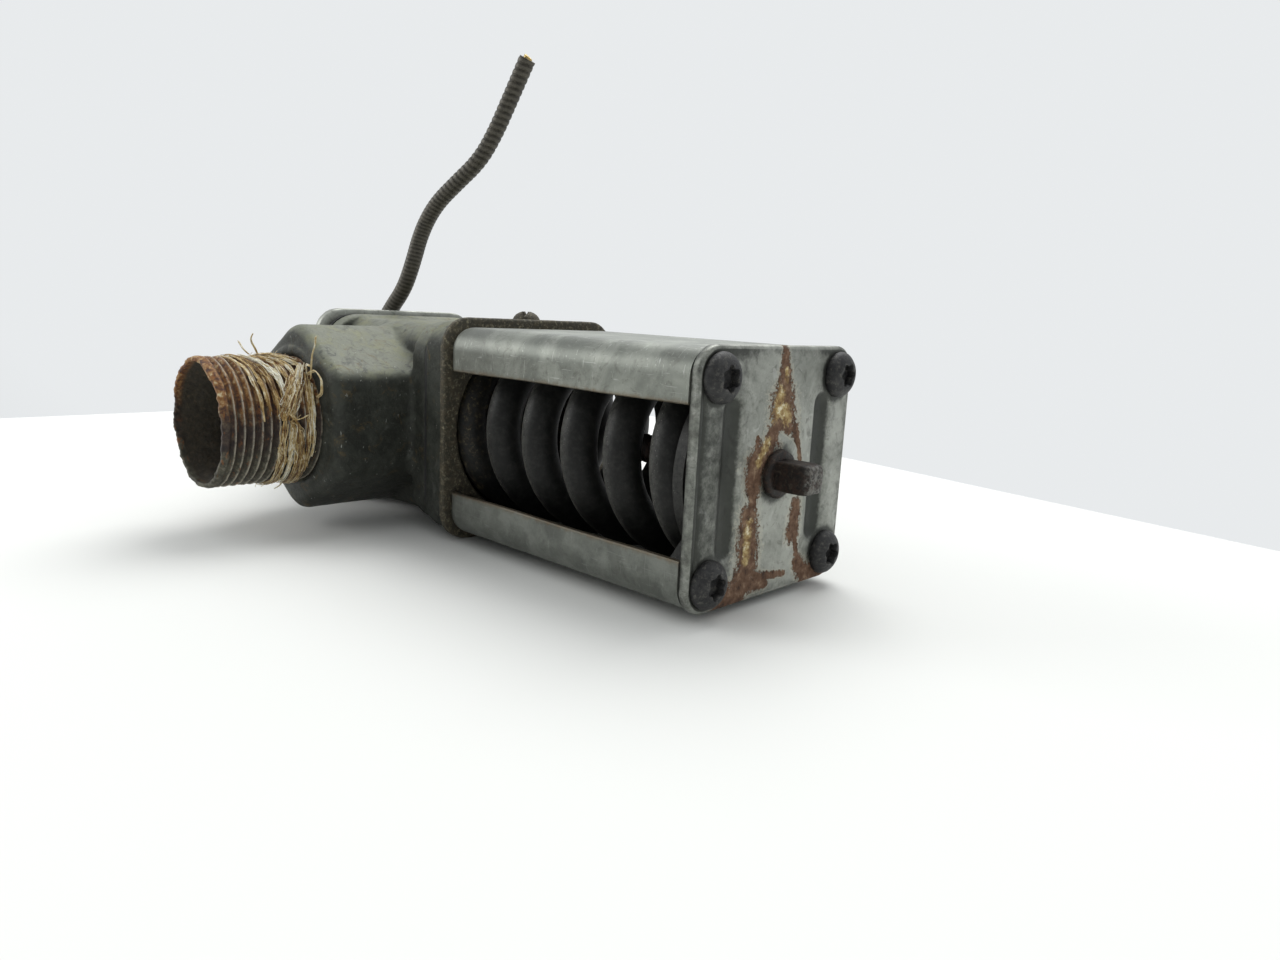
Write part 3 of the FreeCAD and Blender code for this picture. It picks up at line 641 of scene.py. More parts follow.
def build_end_plate():
    sides, rings = 560, 72
    ways = circle(sides)[1]
    hub, rim = HUB_R * ways, plate_outline(ways, PLATE_BEND)
    flat = np.concatenate([hub + (rim - hub) * s for s in np.linspace(0, 1, rings)])
    y, z = flat.T
    edge = -box_distance(flat, (PLATE_Y, PLATE_Z), PLATE_CORNER)

    dip, shade_and_dirt = np.zeros(len(flat)), np.zeros(len(flat))
    for side in (-1, 1):                    # the two pressed grooves
        off = np.hypot(y - side * GROOVE_Y, np.maximum(np.abs(z) - GROOVE_HALF, 0))
        dip += GROOVE_DEPTH * (1 - smoothstep(GROOVE_R * 0.2, GROOVE_R + 0.7, off))
        # painted shade in the groove's hollow, with grime
        shade_and_dirt = np.maximum(shade_and_dirt, 0.9 * (1 - smoothstep(GROOVE_R * 0.5, GROOVE_R + 0.6, off)))
    left = smoothstep(17.0, 23.0, -y)       # the crease inside the left edge
    crease = np.exp(-((edge - 2.0) / 0.38) ** 2) * left
    dip += 0.42 * crease - 0.12 * np.exp(-((edge - 1.2) / 0.5) ** 2) * left
    # painted shade mixed with grime: darker in the crease, towards the left side, near the rim and round the right
    # groove
    grime_and_shade = 0.5 * smoothstep(5.0, 20.0, -y) + 0.35 * smoothstep(4.5, 0.5, edge) \
        + 0.22 * smoothstep(10.0, 16.0, y) * smoothstep(26.0, 20.0, y)
    # painted shadow round the foot of the collar, with grime
    around_collar = 0.9 * (1 - smoothstep(5.2, 8.0, np.hypot(y, z)))
    shade_and_dirt = np.maximum.reduce([shade_and_dirt, crease, grime_and_shade, around_collar])
    # painted shadow rings round the screw heads, with grime
    for sy, sz in CORNERS:
        off = np.hypot(y - sy * SCREW_Y, z - sz * SCREW_Z)
        shade_and_dirt = np.maximum(shade_and_dirt, 0.95 * (1 - smoothstep(HEAD_R - 0.2, HEAD_R + 2.2, off)))

    points = np.column_stack([flat, np.zeros(len(flat))])
    dip += 0.05 * ripple(points, 0.12) + 0.015 * ripple(points, 0.7, 5.0)
    rust = np.clip(strokes(flat, RUST) - np.maximum(0, strokes(flat, BARE) - 0.35), 0, 1)
    rust = np.where(dip > 0.5, rust * 0.5, rust)
    raised = 0.08 * smoothstep(0.5, 0.8, rust) * (1 + 0.8 * ripple(points, 1.4, 3.0))
    front = np.column_stack([-np.maximum(dip, 0.02) + raised - 0.02, flat])
    rows = list(front.reshape(rings, sides, 3))

    rust_rows, shade_and_dirt_rows = [rust], [shade_and_dirt]

    def add(x, outline, rusty, shade_and_dirt_share):
        rows.append(ring(x, outline))
        rust_rows.append(rust[-sides:] * rusty), shade_and_dirt_rows.append(shade_and_dirt[-sides:] * shade_and_dirt_share)

    for turn in np.linspace(0, math.pi / 2, 7)[1:]:
        outline = plate_outline(ways, PLATE_BEND * (1 - math.sin(turn)))
        add(-0.04 - PLATE_BEND * (1 - math.cos(turn)), outline, 1, 0.4)
    for x, inset in ((0.4, 0.0), (0.05, 0.25), (0.0, 0.6)):
        add(x - PLATE_T, plate_outline(ways, inset), 0.6, 0.6)
    add(-PLATE_T, hub, 0, 0)
    obj = piece("end_plate_pressed", looped(rows), "zinc_plate", "end_plate", sharp=50, fix_normals=False)
    paint(obj, "rust", np.concatenate(rust_rows))
    paint(obj, "shade_and_dirt", np.concatenate(shade_and_dirt_rows))
    paint(obj, "cream", np.concatenate([0.75 * strokes(flat, CREAM)] + [0 * r for r in rust_rows[1:]]))


build_end_plate()


# ---------------------------------------------------------------- spring housing

def channel_section(inset):
    """Outline in (Y, Z) of a channel's skin from one foot over the top to the other."""
    y, z, corner = HOUSING_Y, HOUSING_Z, 6.0
    wall = [((-y, h), (-1, 0)) for h in np.linspace(WINDOW_Z, z - corner, 6)[:-1]]
    bend = [((-y + corner * (1 + math.cos(a)), z - corner * (1 - math.sin(a))), (math.cos(a), math.sin(a)))
            for a in np.linspace(math.pi, math.pi / 2, 13)]
    top = [((side, z), (0, 1)) for side in np.linspace(-y + corner, y - corner, 12)[1:-1]]
    half = wall + bend
    mirrored = [((-p[0], p[1]), (-n[0], n[1])) for p, n in half[::-1]]
    points, normals = zip(*(half + top + mirrored))
    return np.array(points) - inset * np.array(normals)


def round_foot(skin, lip):
    """A skin whose two feet are rounded off by lip."""
    first, last = skin[0], skin[-1]
    return [(first[0] + lip, WINDOW_Z), (first[0], WINDOW_Z + lip), *map(tuple, skin[1:-1]),
            (last[0], WINDOW_Z + lip), (last[0] - lip, WINDOW_Z)]


def build_channel(name, up, node):
    """A bent sheet channel whose far end is drawn in towards the cover plate."""
    bend, lip = 3.0, 0.25
    stations = [(COVER_FACE + bend * (1 - math.cos(t)), 0.85 * bend * (1 - math.sin(t)))
                for t in np.linspace(0, math.pi / 2, 9)]
    stations += [(x, 0.0) for x in np.linspace(COVER_FACE + bend, -PLATE_T, 40)[1:]]
    rows = []
    for x, inset in stations:
        inner = channel_section(inset + CHANNEL_T)[::-1]
        outline = np.array(round_foot(channel_section(inset), lip) + round_foot(inner, lip))
        wobble = 0.10 * math.sin(x * 0.11 + up) * smoothstep(0, 20, -x) * smoothstep(84, 64, -x)
        outline[:, 1] = up * (outline[:, 1] + wobble * (outline[:, 1] < WINDOW_Z + 1))
        rows.append(ring(x, outline))
    cols = len(rows[0])
    faces = grid_faces(len(rows), cols)
    for end in (0, (len(rows) - 1) * cols):
        faces += [(end + i, end + i + 1, end + cols - 2 - i, end + cols - 1 - i) for i in range(cols // 2 - 1)]
    piece(name, (np.concatenate(rows), faces), "zinc_channel", node, sharp=40)


build_channel("channel_top_bent", 1, "channel_top")
build_channel("channel_bottom_bent", -1, "channel_bottom")


def soft_copy(node, name, voxel, rounds, lumps):
    """A CAD node with softened edges, and lumps of that height in millimetres."""
    obj = remeshed(node, name, voxel, rounds)
    points = drawing_coords(obj)
    push = lumps * ripple(points, 0.3, 2.0) - lumps
    set_coords(obj, points + drawing_normals(obj) * push[:, None])
    body = next(b for b, nodes in frame["record"]["behaviour"]["bodies"].items() if node in nodes)
    dress(obj, SLOT_OF[node], body, node)
    return obj


soft_copy("cover_plate", "cover_plate_worn", 0.5, 3, 0.04)
soft_copy("spring_base", "spring_base_cast", 0.6, 5, 0.05)
flange = soft_copy("bellows_flange", "bellows_flange_worn", 0.6, 4, 0.04)
soft_copy("bellows_cup", "bellows_cup_drawn", 0.55, 4, 0.03)
for attribute in ("rust", "shade_and_dirt", "cream"):
    paint(flange, attribute, np.zeros(len(flange.data.vertices)))


# ---------------------------------------------------------------- valve body

def body_distance(p):
    """Signed distance to the casting: a core with two square flanges, blended into the hexagon of the ports."""
    x, y, z = p.T
    core = prism_distance(box_distance(p[:, 1:], (24.0, 27.3), 8.0), x - (BODY_END + BODY_FACE) / 2,
                          (BODY_FACE - BODY_END) / 2, 0.6)
    ends = [prism_distance(box_distance(p[:, 1:], (28.0, 28.0), 10.0), x - place, BODY_FLANGE_T / 2, 0.6)
            for place in (BODY_END + BODY_FLANGE_T / 2, BODY_FACE - BODY_FLANGE_T / 2)]
    across, up, from_axis = np.abs(x - PORT_X), np.abs(z), np.hypot(x - PORT_X, z)
    apothem = HEX_AF / 2
    sides = smooth_min(apothem - across, apothem - across / 2 - up * math.sqrt(3) / 2, 3.2)
    top = up - (apothem * 2 / math.sqrt(3) - 1.5)          # the hexagon's upper and lower corners are cut flat
    prism = prism_distance(-smooth_min(sides, -top, 1.6), y, PORT_FACE, 3.2)
    boss = prism_distance(from_axis - 19.6, y, PORT_FACE + 0.9, 0.8)
    solid = smooth_min(core, prism, 3.0)
    for end in ends:
        solid = smooth_min(solid, end, 2.2)
    solid = smooth_min(solid, boss, 0.8)
    depth = y - (PORT_FACE - OUTLET_DEPTH)
    for hole in (np.maximum(from_axis - 16.75, depth), np.maximum(from_axis - 15.6, -depth)):
        solid = np.maximum(solid, -hole)
    return solid


def build_body():
    obj = remeshed("valve_body", "valve_body_cast", 0.75, 1)
    points = drawing_coords(obj)
    start = points.copy()
    in_core = (np.hypot(points[:, 1], points[:, 2]) < 18.0) & (np.abs(points[:, 1]) < 20)
    in_port = (np.hypot(points[:, 0] - PORT_X, points[:, 2]) < 16.9) & (np.abs(points[:, 1]) < PORT_FACE - 0.6)
    outside = (body_distance(points) > -2.5) & ~in_core & ~in_port
    for sy, sz in CORNERS:
        outside &= np.hypot(points[:, 1] - sy * SCREW_Y, points[:, 2] - sz * SCREW_Z) > 3.6
    step = 0.05
    for _ in range(5):                      # moves the outer skin onto the distance field
        p = points[outside]
        slope = np.stack([(body_distance(p + way) - body_distance(p - way)) / (2 * step)
                          for way in np.eye(3) * step], axis=1)
        size = np.maximum(np.linalg.norm(slope, axis=1), 0.3)
        points[outside] = p - slope / size[:, None] ** 2 * np.clip(body_distance(p), -1.2, 1.2)[:, None]
    strayed = np.linalg.norm(points - start, axis=1) > 4.0
    points[strayed] = start[strayed]
    grain = 0.06 * ripple(points, 0.35) + 0.03 * ripple(points, 1.1, 4.0)
    set_coords(obj, points)
    points = points + drawing_normals(obj) * (grain - 0.08)[:, None] * outside[:, None]
    points[:, 1] = np.clip(points[:, 1], -PORT_FACE - 1.0, PORT_FACE)
    set_coords(obj, points)
    relax = obj.modifiers.new("relax", "SMOOTH")
    relax.iterations, relax.factor = 2, 0.5
    apply_modifiers(obj)
    dress(obj, "cast_body", "valve", "valve_body")


build_body()


# ---------------------------------------------------------------- range spring

def spring_place(t):
    """Axial place of the wire's centre, t turns up from the front of the foot coil; both ends are closed down."""
    foot = SPRING_FOOT + WIRE_R
    closing = 0.5 * 10.4 / SPRING_CLOSED
    under, over = np.minimum(t, 0), np.maximum(t - SPRING_TURNS, 0)
    return foot + PITCH * t + closing * (under * under - over * over)


def build_spring():
    t = np.linspace(-SPRING_CLOSED, SPRING_TURNS + SPRING_CLOSED, 6 * 110)
    angle = math.pi + 2 * math.pi * t
    radius = SPRING_OUT_R - WIRE_R
    path = np.column_stack([spring_place(t), radius * np.cos(angle), radius * np.sin(angle)])
    verts, faces = capped(tube(path, WIRE_R, 28))
    verts[:, 0] = np.clip(verts[:, 0], SPRING_FOOT, SPRING_TOP)
    return piece("range_spring_coil", (verts, faces), "spring_steel", "range_spring", sharp=50, fix_normals=False)


spring = build_spring()


# ---------------------------------------------------------------- screws

def build_heads(name, node, x, way, reach):
    """Button heads with six-lobed sockets at the four corners, on shanks that reach so far in."""
    angles, ways = circle(72)
    lobes = 2.45 + 0.33 * np.cos(6 * angles)
    top = 2.95
    dome = [(0.05, 0.15), (0.0, 0.1), (0.25, 0), (0.8, 0.02), (1.25, 0.15), (1.7, 0.42), (2.1, 0.8), (2.45, 1.25),
            (2.72, 1.7)]
    profile = [(h, HEAD_R - cut) for h, cut in dome] + [(top - 0.07, 3.15), (top, 2.98)]
    profile += [(top - down, (lobes + grow)[:, None]) for down, grow in ((0, 0.12), (0.15, 0.0), (1.9, -0.05))]
    profile.append((top - 2.3, 0.5))
    parts = []
    for number, (sy, sz) in enumerate(CORNERS):
        verts, faces = capped([ring(h, r * ways) for h, r in profile])
        turn = 0.35 + 1.3 * number
        c, s = math.cos(turn), math.sin(turn)
        verts = np.column_stack([way * verts[:, 0] + x, c * verts[:, 1] - s * verts[:, 2] + sy * SCREW_Y,
                                 s * verts[:, 1] + c * verts[:, 2] + sz * SCREW_Z])
        verts += 0.04 * ripple(verts, 0.9, number)[:, None] * np.array([0, 1, 1])
        shank = [(x - way * inward, sy * SCREW_Y, sz * SCREW_Z) for inward in (0.3, reach)]
        parts += [(verts, faces), capped(tube(shank, 2.9, 20))]
    piece(name, joined(parts), "black_screws", node, sharp=38)


build_heads("tie_screw_heads", "tie_screws", 0.0, 1, 102.0)
build_heads("flange_screw_heads", "flange_screws", FLANGE_HEAD_X, -1, 12.5)


# ---------------------------------------------------------------- nipple

def build_nipple():
    sides, depth = 300, 1.25
    angles, ways = circle(sides)
    ragged = 0.55
    for waves, height, seed in ((3, 0.9, 1.0), (9, 0.55, 5.0), (24, 0.35, 9.0)):
        ragged = ragged + height * ripple(np.column_stack([ways * waves, np.full(sides, seed)]), 1.0)
    ragged = 0.6 * np.maximum(ragged, 0.0)
    rows, crest, root, inside = [], [], [], []

    def add(r, y, on_crest=0.0, in_root=0.0, within=0.0):
        rows.append(port_ring(r, y, ways))
        for values, value in ((crest, on_crest), (root, in_root), (inside, within)):
            values.append(np.zeros(sides) + value)

    def rim(y):
        return y + ragged * np.clip(1 - (y - MOUTH) / 4.0, 0, 1)

    def rough(y, r, *layers):
        spot = np.column_stack([ways[:, 0] * r, np.full(sides, y), ways[:, 1] * r])
        return sum(height * ripple(spot, scale, seed) for height, scale, seed in layers)

    for y in np.arange(MOUTH, -48.0, 0.15):
        groove = (1 - np.abs(2 * ((y / THREAD_PITCH - angles / (2 * math.pi)) % 1.0) - 1)) ** 0.9
        fade = smoothstep(MOUTH + 1.2, MOUTH + 3.2, y)
        over_crests = min(17.0, 16.55 + 0.3 * (y - MOUTH))          # with the chamfer at the free end
        chips = 0.7 * rough(y, 16, (0.16, 0.45, 2.0), (0.10, 1.3, 7.0))
        add(over_crests - depth * groove * fade - 0.05 + chips, rim(y),
            smoothstep(0.35, 0.05, groove) * fade, smoothstep(0.55, 0.95, groove) * fade)
    add(16.5, -46.0)
    add(16.5, NIPPLE_IN)
    add(NIPPLE_BORE, NIPPLE_IN, within=1.0)
    for y in np.concatenate([np.linspace(-36, -60, 30), np.linspace(-60, MOUTH, 50)[1:]]):
        mouth = smoothstep(-63.0, MOUTH, y)
        scale = rough(y, 14, (0.28, 0.35, 4.0), (0.14, 1.1, 8.0)) * (1 - 0.5 * mouth)
        add(NIPPLE_BORE + 0.1 + 2.1 * mouth + scale, rim(y), within=smoothstep(MOUTH + 0.6, MOUTH + 2.4, y))
    obj = piece("pipe_nipple_threaded", looped(rows), "pipe_steel", "pipe_nipple")
    for name, values in (("crest", crest), ("root", root), ("inside", inside)):
        paint(obj, name, np.concatenate(values))


build_nipple()


# ---------------------------------------------------------------- hemp

# Strands on the nipple: (turn, place along Y) points, width, lift, tone.
# Turn is in degrees round the pipe, 0 at +X, 90 up.
STRANDS = [
    (((48, -55.4), (34, -57.2), (17, -59.4), (6, -60.4)), 3.0, 0.75, 0.62),
    (((62, -52.2), (48, -54.6), (36, -56.0)), 1.5, 0.9, 0.85),
    (((6, -60.6), (-10, -61.4), (-24, -61.2), (-42, -61.0), (-80, -60.2), (-120, -59.5)), 1.5, 0.55, 0.50),
    (((10, -58.6), (-4, -57.2), (-22, -56.6), (-42, -55.6), (-80, -54.4), (-120, -54.0)), 1.7, 0.65, 0.55),
    (((6, -59.0), (-8, -59.2), (-22, -59.0), (-40, -58.4), (-75, -57.6)), 0.7, 0.45, 0.80),
    (((94, -66.0), (70, -62.6), (49, -60.2), (32, -59.6), (20, -59.2)), 1.0, 0.45, 0.92),
    (((104, -68.0), (74, -65.2), (48, -62.6), (26, -61.8), (8, -61.4)), 0.9, 0.30, 0.45),
    (((92, -62.4), (66, -59.0), (44, -57.6), (34, -57.0)), 0.5, 0.30, 0.70),
    (((90, -60.0), (68, -56.6), (50, -55.4), (44, -55.2)), 0.5, 0.35, 0.74),
    (((160, -62.0), (120, -60.0), (92, -58.0), (70, -54.0), (56, -52.0)), 1.0, 0.55, 0.80),
    (((200, -60.5), (150, -58.5), (110, -56.2), (84, -54.6), (62, -52.4)), 1.2, 0.45, 0.60),
    (((52, -52.4), (34, -53.6), (14, -54.2), (-4, -54.4), (-24, -54.4), (-50, -53.4)), 0.8, 0.40, 0.60),
    (((44, -52.0), (20, -52.8), (0, -53.2), (-30, -52.8)), 0.4, 0.25, 0.75),
    (((240, -55.5), (200, -56.5), (160, -55.0), (120, -53.4), (90, -52.2)), 1.5, 0.5, 0.55),
    (((-110, -54.5), (-150, -55.5), (-190, -56.5), (-230, -57.5)), 1.8, 0.5, 0.58),
    (((-110, -59.0), (-150, -58.6), (-190, -59.6), (-230, -61.0)), 1.5, 0.4, 0.5),
    (((96, -70.0), (60, -67.2), (30, -66.2), (6, -65.8)), 0.35, 0.15, 0.65),
    (((92, -67.4), (58, -65.4), (30, -64.4), (10, -64.0)), 0.35, 0.15, 0.60),
]
LOOSE = [
    [(12.2, -52.6, 13.0), (15.4, -51.9, 14.4), (18.6, -51.8, 12.2), (18.8, -51.9, 8.6), (16.4, -52.0, 7.4)],
    [(13.4, -52.0, 12.0), (14.2, -52.2, 15.2), (14.4, -52.0, 18.4), (15.8, -51.8, 20.8), (16.4, -51.9, 23.0)],
    [(2.0, -61.0, 17.4), (2.8, -62.0, 19.0), (2.4, -62.6, 20.3), (3.4, -63.2, 21.5), (4.2, -63.0, 22.6)],
    [(-1.0, -62.0, 17.2), (-1.8, -63.2, 18.6), (-3.4, -63.6, 20.4)],
    [(11.0, -52.0, 13.2), (11.2, -52.2, 15.4), (13.8, -52.4, 15.2)],
    [(16.8, -54.6, 3.0), (18.0, -56.4, 2.4), (17.8, -58.6, 1.8), (17.2, -59.6, 3.6)],
    [(8.0, -58.0, -15.0), (9.4, -59.2, -16.4), (9.0, -60.6, -17.2)],
]


def smooth_line(points, count, rounds):
    points = np.array(points, float)
    t = np.linspace(0, len(points) - 1, count)
    line = np.stack([np.interp(t, np.arange(len(points)), values) for values in points.T], axis=1)
    for _ in range(rounds):
        line[1:-1] = (line[:-2] + 2 * line[1:-1] + line[2:]) / 4
    return line


def wander(count, scale, *seed):
    return np.array([noise.noise(Vector((scale * t, *seed))) for t in range(count)])


def build_hemp():
    chance = random.Random(7)
    parts, tones = [], []
    count = 40

    def add(path, radii, sides, tone):
        parts.append(capped(tube(path, radii, sides)))
        tones.extend([tone] * (len(path) * sides))

    def on_pipe(turn, y, r):
        a = np.radians(turn)
        return np.column_stack([PORT_X + r * np.cos(a), y, r * np.sin(a)])

    for points, width, lift, tone in STRANDS:
        line = smooth_line(points, count, 10)
        swell = 0.35 + 0.65 * np.sin(np.pi * np.linspace(0.06, 0.94, count)) ** 0.5
        yarns = max(2, round(width * 1.6))
        for number in range(yarns):         # twisted yarn under the loose fibres
            side = (number + 0.5) / yarns - 0.5
            sway = wander(count, 0.12, number * 9.0, width * 7)
            path = on_pipe(line[:, 0], line[:, 1] + width * swell * (side + 0.25 * sway),
                           16.6 + lift * 0.7 * (1 - 1.2 * abs(side)))
            add(path, swell * min(0.36, 0.2 + 0.1 * width), 8, tone - 0.12 + chance.uniform(-0.12, 0.12))
        for number in range(round(6 + width * 22)):
            side, high = chance.uniform(-0.75, 0.75), chance.uniform(0.2, 1.4)
            a, b = sorted((chance.uniform(0, 0.5), chance.uniform(0.5, 1)))
            first = round(a * (count - 1))
            last = min(max(round(b * (count - 1)), first + 8), count - 1)
            turn, y = line[first:last + 1].T
            if len(y) < 5:
                continue
            seed = chance.random() * 90
            sway, bob = wander(len(y), 0.16, seed, 0.0), wander(len(y), 0.30, seed, 4.0)
            path = on_pipe(turn + 6 * sway, y + width * side + (0.3 + 0.5 * width) * sway,
                           16.75 + lift * high + 0.25 * bob)
            add(path, chance.uniform(0.06, 0.13), 5, tone - 0.08 + chance.uniform(-0.38, 0.36))
    for points in LOOSE:
        for copy in range(3):
            shift = np.array([chance.uniform(-0.3, 0.3) for _ in range(3)]) * (copy > 0)
            path = smooth_line(np.array(points) + shift + (PORT_X, 0, 0), 10 * len(points), 12)
            add(path, 0.15 - 0.03 * copy, 5, 0.7)
    for _ in range(60):                     # short stubs of fuzz
        a, y = chance.uniform(0, 6.28), chance.uniform(-61.0, -52.0)
        foot = np.array([PORT_X + 17.1 * math.cos(a), y, 17.1 * math.sin(a)])
        out = np.array([math.cos(a + chance.uniform(-0.9, 0.9)), chance.uniform(-0.8, 0.8),
                        math.sin(a + chance.uniform(-0.9, 0.9))])
        t = np.linspace(0, 1, 6)[:, None]
        bend = np.array([chance.uniform(-1, 1) for _ in range(3)])
        add(foot + out * chance.uniform(0.5, 1.7) * t + bend * 0.5 * t * t, 0.06, 4, 0.7)
    obj = piece("sealing_hemp_winding", joined(parts), "hemp", "sealing_hemp", fix_normals=False)
    paint(obj, "tone", tones)


build_hemp()


# ---------------------------------------------------------------- adjusting screw and collar

def rounded_square(half, corner):
    points = []
    for middle in (np.arange(4) + 0.5) * math.pi / 2:
        cx, cy = math.copysign(half - corner, math.cos(middle)), math.copysign(half - corner, math.sin(middle))
        for a in np.linspace(middle - math.pi / 4, middle + math.pi / 4, 12):
            points.append((cx + corner * math.cos(a), cy + corner * math.sin(a)))
    return np.array(points)


def build_adjuster():
    verts, faces = capped([ring(x, rounded_square(half, corner)) for x, half, corner in (
        (0.8, 3.2, 0.8), (2.2, 3.2, 0.8), (5.0, 3.25, 0.75), (8.2, 3.25, 0.8), (9.4, 3.15, 1.0), (9.9, 2.95, 1.2),
        (10.25, 2.6, 1.3), (10.38, 2.1, 1.2), (10.38, 1.0, 0.6))])
    verts[:, 0] += 0.06 * ripple(verts, 0.7, 1.0)
    verts[:, 1:] *= (1 + 0.02 * ripple(verts, 0.6, 9.0))[:, None]
    angles, ways = circle(64)
    shaft = []
    for x in np.arange(-44.0, -4.6, 0.2):
        phase = (x / SCREW_PITCH - angles / (2 * math.pi)) % 1.0
        fade = smoothstep(-44.0, -42.5, x) * smoothstep(-4.6, -6.0, x)
        r = 3.58 - 0.55 * (1 - np.abs(2 * phase - 1)) * fade - 0.4 * (1 - smoothstep(-44.0, -43.0, x))
        shaft.append(ring(x, r[:, None] * ways))
    shaft += [ring(x, r * ways) for x, r in ((-4.4, 3.55), (-4.4, 3.95), (-3.9, 3.95), (-3.9, 3.0), (-2.9, 3.0),
                                             (-2.9, 3.95), (1.6, 3.95), (1.6, 2.5))]
    piece("adjusting_screw_worn", joined([(verts, faces), capped(shaft)]), "brown_screw", "adjusting_screw",
          body="adjuster", sharp=42)


def build_collar():
    angles, ways = circle(60)
    shape = 5.35 + 0.12 * np.cos(8 * angles + 0.4)
    rows = [ring(x, (shape + grow)[:, None] * ways) for x, grow in (
        (0.32, -0.25), (0.36, 0.0), (0.9, 0.05), (1.4, -0.05), (1.8, -0.35), (2.0, -0.8))]
    verts, faces = looped(rows + [ring(x, 3.4 * ways) for x in (2.0, 0.32)])
    verts += 0.05 * ripple(verts, 0.8, 3.0)[:, None]
    piece("thrust_collar_worn", (verts, faces), "brown_screw", "thrust_collar", body="adjuster", sharp=45)


build_adjuster()
build_collar()


# ---------------------------------------------------------------- capillary

CAPILLARY = [
    (-171.3, 2.4, 23.2), (-164.8, 2.4, 29.7), (-158.6, 4.0, 36.8), (-155.6, 5.4, 45.0), (-154.6, 8.2, 56.0),
    (-149.5, 10.2, 64.5), (-141.0, 12.6, 71.2), (-132.3, 15.0, 77.6), (-127.0, 17.0, 85.6), (-121.9, 19.1, 96.4),
    (-116.6, 20.9, 106.9),
]


def route_curve(name, points):
    curve = bpy.data.curves.new(name, "CURVE")
    curve.dimensions = "3D"
    spline = curve.splines.new("NURBS")
    spline.points.add(len(points) - 1)
    for point, place in zip(spline.points, points):
        point.co = (*(np.array(place) * MM + ORIGIN), 1)
    spline.order_u = 3
    spline.use_endpoint_u = True
    spline.resolution_u = 24
    return linked(name, curve)


def read_route(points):
    """Points along the route's NURBS spline, as Blender draws it."""
    guide = route_curve("route_guide", points)
    bpy.context.view_layer.update()
    line = bpy.data.meshes.new_from_object(guide.evaluated_get(bpy.context.evaluated_depsgraph_get()))
    path = np.array([tuple(v.co) for v in line.vertices])
    bpy.data.objects.remove(guide)
    bpy.data.meshes.remove(line)
    return (path - ORIGIN) / MM


def evenly(path, step):
    """A path's points at even steps, and how far along each lies."""
    lengths = np.concatenate([[0], np.cumsum(np.linalg.norm(np.diff(path, axis=0), axis=1))])
    places = np.linspace(0, lengths[-1], int(lengths[-1] / step))
    return np.stack([np.interp(places, lengths, values) for values in path.T], axis=1), places


def build_armour(path, along):
    """Round wound strip whose pitch and depth grow towards the cut end, with a short bore there."""
    sides = 36
    opening = smoothstep(0.38, 0.62, along / along[-1])
    phase = np.cumsum(np.gradient(along) / (1.25 + 0.65 * opening))
    strip = np.sin(np.pi * ((phase[:, None] - np.arange(sides) / sides) % 1.0)) ** 0.32
    rows = tube(path, ARMOUR_R - (0.16 + 0.26 * opening)[:, None] * (1 - strip), sides)
    mouth = path[-1] + (rows[-1] - path[-1]) * 0.72
    back = path[-1] - path[-8]
    armour = piece("capillary_armour_spiral", capped(rows + [mouth, mouth - back / np.linalg.norm(back) * 2.0]),
                   "armour", "capillary_armour")
    tail = np.zeros(2 * sides)
    # crest carries the armour's painted highlight and root its painted shade
    paint(armour, "crest", np.concatenate([smoothstep(0.8, 1.0, strip).ravel(), tail]))
    paint(armour, "root", np.concatenate([smoothstep(0.5, 0.1, strip).ravel(), tail]))
    return armour


def build_tube_end(path):
    """The bright end of the tube, cut at a slant."""
    tip, out = path[-1], path[-1] - path[-6]
    out /= np.linalg.norm(out)
    side = np.cross(out, [0, 1, 0])
    side /= np.linalg.norm(side)
    angles, ways = circle(32)
    round_tip = ways[:, :1] * side + ways[:, 1:] * np.cross(out, side)
    rows = []
    for away, r in ((-3.0, 1.38), (0.1, 1.38), (0.62, 1.36), (0.75, 1.22), (0.78, 0.95), (0.66, 0.82), (-2.2, 0.75)):
        cut = float(away > 0.4)
        slant = cut * 0.25 * np.cos(angles - 0.8)[:, None] * out
        wobble = 1 + cut * 0.05 * np.cos(3 * angles + 1.0)[:, None]
        rows.append(tip + out * away + slant + round_tip * r * wobble)
    return piece("capillary_tube_end", capped(rows), "brass", "capillary_tube", sharp=50)


def build_capillary():
    path, along = evenly(read_route(CAPILLARY), 0.16)
    armour, tube_end = build_armour(path, along), build_tube_end(path)


build_capillary()


# ---------------------------------------------------------------- tag screw

def build_tag_screw():
    ways, turn = circle(64)[1], math.radians(35)
    rows = [ring(h, r * ways)[:, [1, 2, 0]] for h, r in (
        (-1.0, 1.5), (0.02, 1.5), (0.02, 3.7), (0.35, 3.85), (1.0, 3.8), (1.7, 3.45), (2.3, 2.9), (2.8, 2.1),
        (3.15, 1.2), (3.28, 0.4))]
    verts, faces = capped(rows)
    across = verts[:, 0] * math.cos(turn) + verts[:, 1] * math.sin(turn)
    verts[:, 2] -= 1.2 * (np.abs(across) < 0.62) * (verts[:, 2] > 1.9)         # the slot
    verts[:, :2] *= (1 + 0.03 * ripple(verts, 0.6, 3.0))[:, None]
    piece("tag_screw_worn", (verts + (-90.2, 1.8, 28.6), faces), "rusty_plate", "tag_screw", sharp=40)


build_tag_screw()


# ---------------------------------------------------------------- outlet thread

def build_outlet_thread():
    angles, ways = circle(120)
    inner = 31.2          # just outside the foot of the tapped hole
    rows = []
    for y in np.arange(inner, PORT_FACE - 1.4, 0.2):
        groove = np.abs(2 * ((y / THREAD_PITCH - angles / (2 * math.pi)) % 1.0) - 1)
        rows.append(port_ring(15.0 + 0.9 * groove, y, ways))
    rows += [port_ring(r, y, ways) for y, r in ((PORT_FACE - 0.2, 16.2), (PORT_FACE - 0.2, 16.6), (inner, 16.6))]
    piece("outlet_thread", looped(rows), "cast_body", sharp=50)


build_outlet_thread()


